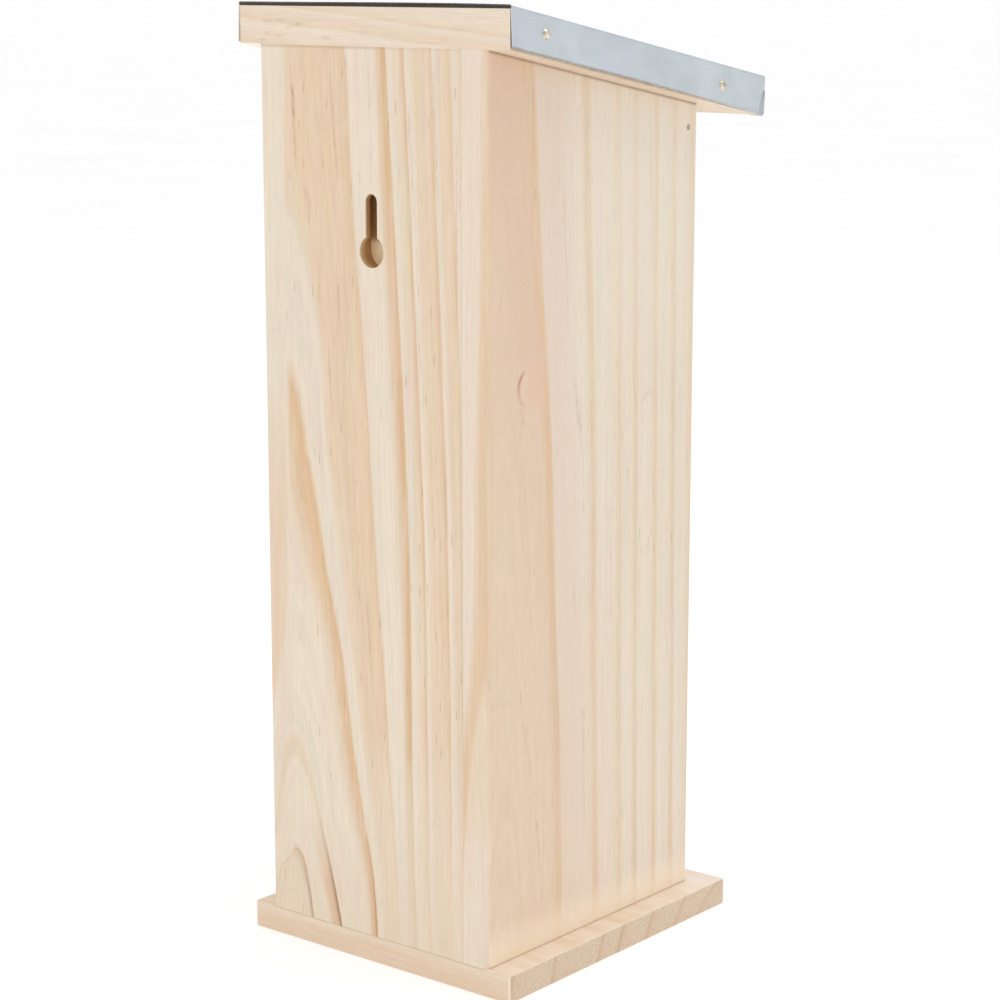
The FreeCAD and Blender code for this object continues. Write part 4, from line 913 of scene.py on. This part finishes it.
def cane_bore():
    """The papery pith left inside a cane, with painted shade making it browner the deeper it lies."""
    t = Tree("cane_bore")
    warm, _, _, _ = cane_attribute(t)
    p = t.scaled(t.coords.outputs["Object"], 1000.0)
    q = t.split(p)
    scale = t.noise(t.vector(t.mul(q[0], 0.9), t.mul(q[1], 0.16), t.mul(q[2], 0.9)), 1.0, 4.0, 0.65)
    colour = t.mix(t.span(scale, 0.35, 0.7), tone(200, 168, 114), tone(150, 116, 72))
    colour = t.mix(t.mul(warm, 0.4), colour, tone(150, 108, 64))
    # painted shade deeper in the bore
    colour = t.mix(t.span(q[1], -38.0, 10.0, 0.0, 0.6), colour, tone(92, 66, 40))
    t.surface(Base_Color=colour, Roughness=t.add(0.8, t.mul(t.sub(scale, 0.5), 0.2)))
    t.bump(scale, 0.0003, 0.5)
    return t.material


finish = {
    "zinc": zinc("zinc_sheet", (215, 221, 224), (199, 207, 211)),
    # a darker copy of the zinc for the folded tabs: painted shade
    "zinc_fold_painted_shade": zinc("zinc_fold_painted_shade", (190, 192, 204), (172, 175, 190)),
    "zinc_edge": zinc_edge("zinc_cut_edge", (88, 82, 77), (122, 117, 112), 0.3),
    "zinc_painted_light": zinc_edge("zinc_edge_painted_light", (226, 214, 198), (240, 230, 216), 0.0),
    "felt": felt(),
    "brass": metal("brass_nails", (232, 225, 206), (178, 166, 138), 0.26, 3.0),
    "pin": metal("pivot_pins", (220, 200, 164), (176, 150, 110), 0.34, 6.0),
    "steel": metal("steel_screws", (186, 182, 176), (132, 126, 118), 0.38, 9.0),
    "cane_skin": cane_skin(),
    "cane_end": cane_end(),
    "cane_bore": cane_bore(),
}


def assign(node, material):
    """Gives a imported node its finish."""
    data = nodes[node].data
    data.materials.clear()
    data.materials.append(material)


for node, material in wood.items():
    assign(node, material)
for node in ("base_screws", "roof_board_nails"):
    assign(node, finish["steel"])
for node in ("left_pivot_nail", "right_pivot_nail"):
    assign(node, finish["pin"])
assign("roof_sheet_nails", finish["brass"])
assign("roof_underlay", finish["felt"])


def ease_edges(node, width, segments=2):
    """Takes the sharpness off a board's edges, as planing and sanding do."""
    o = nodes[node]
    weld = o.modifiers.new("weld", "WELD")
    weld.merge_threshold = 1e-6
    bevel = o.modifiers.new("eased", "BEVEL")
    bevel.width = width * MM
    bevel.segments = segments
    bevel.limit_method = "ANGLE"
    bevel.angle_limit = math.radians(35)
    normals = o.modifiers.new("normals", "WEIGHTED_NORMAL")
    normals.keep_sharp = True


for node, width in (
    ("back_panel", 0.35),
    ("left_side_panel", 0.3),
    ("right_side_panel", 0.3),
    ("roof_board", 0.4),
    ("lower_shelf", 0.4),
    ("upper_shelf", 0.4),
):
    ease_edges(node, width)


def islands(node):
    """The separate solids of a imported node, each as a list of its points."""
    bm = bmesh.new()
    bm.from_mesh(nodes[node].data)
    bmesh.ops.remove_doubles(bm, verts=bm.verts, dist=1e-6)
    bm.verts.index_update()
    seen, out = set(), []
    for first in bm.verts:
        if first.index in seen:
            continue
        stack, points = [first], []
        seen.add(first.index)
        while stack:
            v = stack.pop()
            points.append(v.co.copy())
            for e in v.link_edges:
                o = e.other_vert(v)
                if o.index not in seen:
                    seen.add(o.index)
                    stack.append(o)
        out.append(points)
    bm.free()
    return out


def add_piece(name, mesh, body, slot, *replaced):
    o = bpy.data.objects.new(name, mesh)
    bpy.context.scene.collection.objects.link(o)
    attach(o, body)
    if replaced:
        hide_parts(*replaced)
    return o


# ---------------------------------------------------------------- roof sheet

# The roof's own frame: u runs down the slope from the hanging face, w stands square to the slope.
roof_lo, roof_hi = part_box("roof_board")
sheet_lo, sheet_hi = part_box("roof_sheet")
REAR_Y = roof_hi[1] * 1000
BODY_TOP = 320.4
SLOPE = math.atan(21.4 / 117)
DOWN = Vector((0, -math.cos(SLOPE), -math.sin(SLOPE)))
OUT = Vector((0, -math.sin(SLOPE), math.cos(SLOPE)))
HEAD = Vector((0, REAR_Y, BODY_TOP))
SHEET_TOP, SHEET_LOW = 14.1, 0.8
SHEET_HALF = sheet_hi[0] * 1000


def to_roof(co):
    d = Vector(co) * 1000 - HEAD
    return co[0] * 1000, d.dot(DOWN), d.dot(OUT)


def from_roof(x, u, w):
    d = HEAD + DOWN * u + OUT * w
    return Vector((x * MM, d[1] * MM, d[2] * MM))


sheet_nail_places = []
for points in islands("roof_sheet_nails"):
    middle = sum(points, Vector()) / len(points)
    sheet_nail_places.append(to_roof(middle))


def sheet_shape(x, u, w):
    """Where a point of the flat-drawn sheet lies once it has been bent by hand and nailed down."""
    drop = min(max((SHEET_TOP - w) / (SHEET_TOP - SHEET_LOW), 0.0), 1.0)
    # towards the front corners the flange hangs plumb and covers the board's edge
    corner = min(max((abs(x) - 44.0) / 14.0, 0.0), 1.0) * min(max((u - 104.0) / 38.0, 0.0), 1.0)
    lean, hang = 1.5 * drop * corner, 0.95 * drop * corner
    if abs(x) > SHEET_HALF - 0.9 and u < 144.4:
        bow = 0.75 * math.exp(-(u + 2.0) / 6.0) + 0.24 * (0.5 - 0.5 * math.cos(2 * math.pi * (u - 17.0) / 102.0))
        if u > 119.0:
            bow = 0.16 * (u - 119.0) / 26.0
        move = bow * drop**1.3
        for nx, nu, nw in sheet_nail_places:
            if nx * x > 0 and abs(nx) > SHEET_HALF - 6:
                d2 = (u - nu) ** 2 + (w - nw) ** 2
                move -= 0.14 * math.exp(-d2 / 2.8**2) * (1 if drop > 0.05 else 0)
        return x + math.copysign(move, x), u + lean, w - hang
    if w > SHEET_TOP - 0.7:
        rim = min(1.0, (SHEET_HALF - abs(x)) / 18.0) * min(1.0, max(0.0, (144.0 - u) / 20.0))
        wave = 0.5 + 0.3 * math.sin(u * 0.062 + 0.8) * math.cos(x * 0.055 + 0.4) + 0.2 * math.sin(u * 0.021 - x * 0.03)
        return x, u, w + 0.3 * rim * wave
    return x, u + lean, w - hang


def roof_sheet_piece():
    bm = bmesh.new()
    bm.from_mesh(nodes["roof_sheet"].data)
    bmesh.ops.remove_doubles(bm, verts=bm.verts, dist=1e-6)
    bmesh.ops.dissolve_limit(
        bm, angle_limit=math.radians(0.5), verts=bm.verts[:], edges=bm.edges[:], use_dissolve_boundaries=False
    )

    def cut(point, normal):
        bmesh.ops.bisect_plane(
            bm, geom=bm.verts[:] + bm.edges[:] + bm.faces[:], dist=1e-7, plane_co=point, plane_no=normal
        )

    for k in range(-1, 59):
        u = k * 2.5 + 0.7
        cut(from_roof(0, u, 0), DOWN)
    for k in range(1, 12):
        cut(from_roof(0, 0, SHEET_LOW + k * 1.12), OUT)
    for k in range(-10, 11):
        cut(Vector((k * 5.6 * MM, 0, 0)), Vector((1, 0, 0)))
    for face in bm.faces:
        middle = face.calc_center_median()
        rear = face.normal.y > 0.93 and middle.y * 1000 > REAR_Y - 0.2
        lining = face.normal.x < -0.9 and middle.x * 1000 > SHEET_HALF - 1.0 and middle.y * 1000 > REAR_Y - 5.0
        # the top's rear edge gets the dark cut edge, dirt with painted shade; the +X flange's rear edge and lining get
        # painted light
        if to_roof(middle)[2] > SHEET_TOP - 0.9:
            face.material_index = 1 if rear else 0
        elif middle.x > 0 and (rear or lining):
            face.material_index = 3
    for v in bm.verts:
        v.co = from_roof(*sheet_shape(*to_roof(v.co)))

    # the front flange's ends are folded back round the corners over the side flanges
    for sign in (-1, 1):
        outline = [(145.0, 1.3), (141.6, 1.2), (142.5, 3.9), (143.7, 6.6), (144.9, 9.2)]
        x0 = sign * (SHEET_HALF + 0.12)
        x1 = sign * (SHEET_HALF + 0.36)
        slack = [(1.5 * (SHEET_TOP - w) / 13.3, 0.95 * (SHEET_TOP - w) / 13.3) for u, w in outline]
        inner = [bm.verts.new(from_roof(x0, u + a, w - b)) for (u, w), (a, b) in zip(outline, slack)]
        feather = (-0.06, 0.5, 0.5, 0.45, -0.06)
        outer = [
            bm.verts.new(from_roof(x1, u + f + a, w + 0.05 - b)) for (u, w), (a, b), f in zip(outline, slack, feather)
        ]
        count = len(outline)
        faces = [bm.faces.new(outer), bm.faces.new(inner[::-1])]
        for i in range(count):
            j = (i + 1) % count
            faces.append(bm.faces.new((inner[i], inner[j], outer[j], outer[i])))
        for face in faces:
            # the tabs take the darker zinc: painted shade
            face.material_index = 2
        bmesh.ops.recalc_face_normals(bm, faces=faces)
    mesh = bpy.data.meshes.new("roof_sheet_bent")
    bm.to_mesh(mesh)
    bm.free()
    for key in ("zinc", "zinc_edge", "zinc_fold_painted_shade", "zinc_painted_light"):
        mesh.materials.append(finish[key])
    mesh.polygons.foreach_set("use_smooth", [True] * len(mesh.polygons))
    mesh.set_sharp_from_angle(angle=math.radians(30))
    add_piece("roof_sheet_bent", mesh, "housing", "zinc", "roof_sheet")


roof_sheet_piece()


# ---------------------------------------------------------------- canes


def cane(rng, cx, cz, big, small, front, rear, verts, faces, kinds, marks):
    """One cane of 28 sides: skin with a node or two, sawn end, bore, all closed."""
    sides = 28
    warm, grey = rng.random() ** 1.3, rng.random() ** 1.5
    oval, turn = rng.uniform(0.0, 0.045), rng.uniform(0, math.pi)
    lobe, lobe_turn = rng.uniform(0.0, 0.05), rng.uniform(0, 6.28)
    tilt, tilt_turn = rng.uniform(0.05, 0.4), rng.uniform(0, 6.28)
    joints = []
    y = front + rng.uniform(18.0, 80.0)
    while y < rear - 8:
        joints.append(y)
        y += rng.uniform(45.0, 80.0)

    def skin_radius(angle, factor):
        return big * factor * (1 - oval * (0.5 + 0.5 * math.cos(2 * (angle - turn))))

    def bore_radius(angle, factor):
        return small * factor * (
            1 + lobe * math.sin(2 * angle + lobe_turn) + 0.5 * lobe * math.sin(3 * angle + 2 * lobe_turn)
        )

    rings = []  # y, factor, on skin, place in wall, node mark
    rings.append((front + 0.05, 0.958, "skin", 1.0, 0.0))
    rings.append((front + 0.32, 0.975, "skin", 1.0, 0.0))
    stations = [(front + 5.0, 0.978, 0.0)]
    for j in joints:
        stations += [
            (j - 4.0, 0.976, 0.0), (j - 1.6, 0.972, 0.1), (j - 0.5, 0.955, 1.0), (j + 0.1, 0.985, 0.5),
            (j + 0.8, 0.998, 0.15), (j + 1.8, 0.985, 0.05), (j + 4.5, 0.974, 0.0),
        ]
    stations.append((rear - 0.4, 0.972, 0.0))
    stations.append((rear, 0.955, 0.0))
    rings += [(yy, f, "skin", 1.0, mark) for yy, f, mark in sorted(stations)]
    rings.append((rear, 0.5, "mid", 0.5, 0.0))
    rings.append((rear, 1.02, "bore", 0.0, 0.0))
    rings.append((front + (rear - front) * 0.55, 0.97, "bore", 0.0, 0.0))
    rings.append((front + 9.0, 0.985, "bore", 0.0, 0.0))
    rings.append((front + 0.75, 1.0, "bore", 0.0, 0.0))
    rings.append((front + 0.18, 1.05, "bore", 0.0, 0.0))
    rings.append((front + 0.06, 0.45, "mid", 0.45, 0.0))
    rings.append((front + 0.02, 0.82, "mid", 0.82, 0.0))
    first = len(verts)
    frays = [rng.uniform(0.0, 0.16) for _ in range(sides)]
    for k, (yy, factor, kind, place, mark) in enumerate(rings):
        at_front = yy < front + 1.0
        for i in range(sides):
            angle = 2 * math.pi * i / sides
            if kind == "skin":
                r = skin_radius(angle, factor)
            elif kind == "bore":
                r = bore_radius(angle, factor)
            else:
                r = bore_radius(angle, 1.05) * (1 - factor) + skin_radius(angle, 0.958) * factor
            depth = yy
            if at_front:
                depth += tilt * (0.5 + 0.5 * math.cos(angle - tilt_turn)) + frays[(i * (3 if kind == "mid" else 1)) % sides]
            verts.append(((cx + r * math.cos(angle)) * MM, depth * MM, (cz + r * math.sin(angle)) * MM))
            marks.append((warm, grey, place, mark))
    count = len(rings)
    for k in range(count):
        nxt = (k + 1) % count
        kind_a, kind_b = rings[k][2], rings[nxt][2]
        if kind_a == "skin" and kind_b == "skin":
            material = 0
        elif kind_a == "bore" and kind_b == "bore":
            material = 2
        else:
            material = 1
        for i in range(sides):
            j = (i + 1) % sides
            faces.append(
                (first + k * sides + i, first + k * sides + j, first + nxt * sides + j, first + nxt * sides + i)
            )
            kinds.append(material)


def cane_piece(node, seed):
    verts, faces, kinds, marks = [], [], [], []
    found = []
    for points in islands(node):
        xs = [v.x * 1000 for v in points]
        ys = [v.y * 1000 for v in points]
        zs = [v.z * 1000 for v in points]
        cx, cz = (min(xs) + max(xs)) / 2, (min(zs) + max(zs)) / 2
        radii = [math.hypot(x - cx, z - cz) for x, z in zip(xs, zs)]
        found.append((round(cz, 3), round(cx, 3), max(radii), min(radii), min(ys), max(ys)))
    for i, (cz, cx, big, small, front, rear) in enumerate(sorted(found)):
        cane(random.Random(seed * 1000 + i), cx, cz, big, small, front, rear, verts, faces, kinds, marks)
    mesh = bpy.data.meshes.new(node.replace("_canes", "_cut_canes"))
    mesh.from_pydata(verts, [], faces)
    for key in ("cane_skin", "cane_end", "cane_bore"):
        mesh.materials.append(finish[key])
    mesh.polygons.foreach_set("material_index", kinds)
    mesh.polygons.foreach_set("use_smooth", [k != 1 for k in kinds])
    layer = mesh.color_attributes.new("cane", "FLOAT_COLOR", "POINT")
    layer.data.foreach_set("color", [v for row in marks for v in row])
    bm = bmesh.new()
    bm.from_mesh(mesh)
    bmesh.ops.recalc_face_normals(bm, faces=bm.faces)
    bm.to_mesh(mesh)
    bm.free()
    mesh.set_sharp_from_angle(angle=math.radians(50))
    add_piece(mesh.name, mesh, "housing", "bamboo", node)


for seed, node in enumerate(sorted(k for k in nodes if k.endswith("_canes"))):
    cane_piece(node, seed + 1)


# ---------------------------------------------------------------- stage, light, camera


def floor_material():
    t = Tree("floor_paper")
    p = t.scaled(t.coords.outputs["Object"], 1000.0)
    cloud = t.noise(p, 0.004, 3.0)
    colour = t.mix(t.span(cloud, 0.3, 0.7), tone(198, 198, 198), tone(202, 202, 202))
    t.surface(
        Base_Color=colour, Roughness=0.9, Specular_IOR_Level=0.1, Emission_Color=(1.0, 1.0, 1.0, 1.0), Emission_Strength=0.535
    )
    return t.material


floor_mesh = bpy.data.meshes.new("floor")
half = 120.0
floor_mesh.from_pydata(
    [(-half, -half, 0), (half, -half, 0), (half, half, 0), (-half, half, 0)], [], [(0, 1, 2, 3)]
)
floor = bpy.data.objects.new("floor", floor_mesh)
floor_mesh.materials.append(floor_material())
bpy.context.scene.collection.objects.link(floor)

world = bpy.data.worlds.new("studio")
bpy.context.scene.world = world
world.use_nodes = True
world.node_tree.nodes["Background"].inputs[0].default_value = (1.0, 1.0, 1.0, 1.0)
world.node_tree.nodes["Background"].inputs[1].default_value = 0.765


def softbox(name, place, target, width, height, watts, colour=(1.0, 1.0, 1.0)):
    data = bpy.data.lights.new(name, "AREA")
    data.shape = "RECTANGLE"
    data.size, data.size_y = width, height
    data.energy = watts
    data.color = colour
    o = bpy.data.objects.new(name, data)
    o.location = place
    o.rotation_mode = "QUATERNION"
    o.rotation_quaternion = (Vector(target) - Vector(place)).to_track_quat("-Z", "Y")
    bpy.context.scene.collection.objects.link(o)
    return o


softbox("key", (0.35, 1.5, 0.95), (0, 0, 0.16), 1.4, 1.4, 2.9)
softbox("side_fill", (-1.7, 0.35, 0.9), (0, 0, 0.16), 1.4, 1.4, 1.2)
softbox("front_fill", (0.6, -1.6, 1.0), (0, 0, 0.16), 1.4, 1.4, 4.0)
softbox("overhead", (-0.45, -0.1, 1.8), (-0.06, 0, 0), 0.9, 0.9, 6.0)

camera = bpy.data.cameras.new("camera")
camera.sensor_width = 36.0
camera.lens = 94.645
camera.clip_start, camera.clip_end = 0.02, 400.0
eye = bpy.data.objects.new("camera", camera)
yaw, pitch, roll = 3.8251641, 0.1993203, 0.0004721
back = Vector((math.sin(yaw) * math.cos(pitch), -math.cos(yaw) * math.cos(pitch), math.sin(pitch)))
right = (-back).cross(Vector((0, 0, 1))).normalized()
up = right.cross(-back)
c, s = math.cos(roll), math.sin(roll)
columns = (right * c + up * s, up * c - right * s, back)
eye.matrix_world = Matrix(
    [(*[columns[j][i] for j in range(3)], (-0.589873, 0.720069, 0.345655)[i]) for i in range(3)]
    + [(0, 0, 0, 1)]
)
bpy.context.scene.collection.objects.link(eye)
bpy.context.scene.camera = eye
bpy.context.scene.view_settings.view_transform = "Standard"
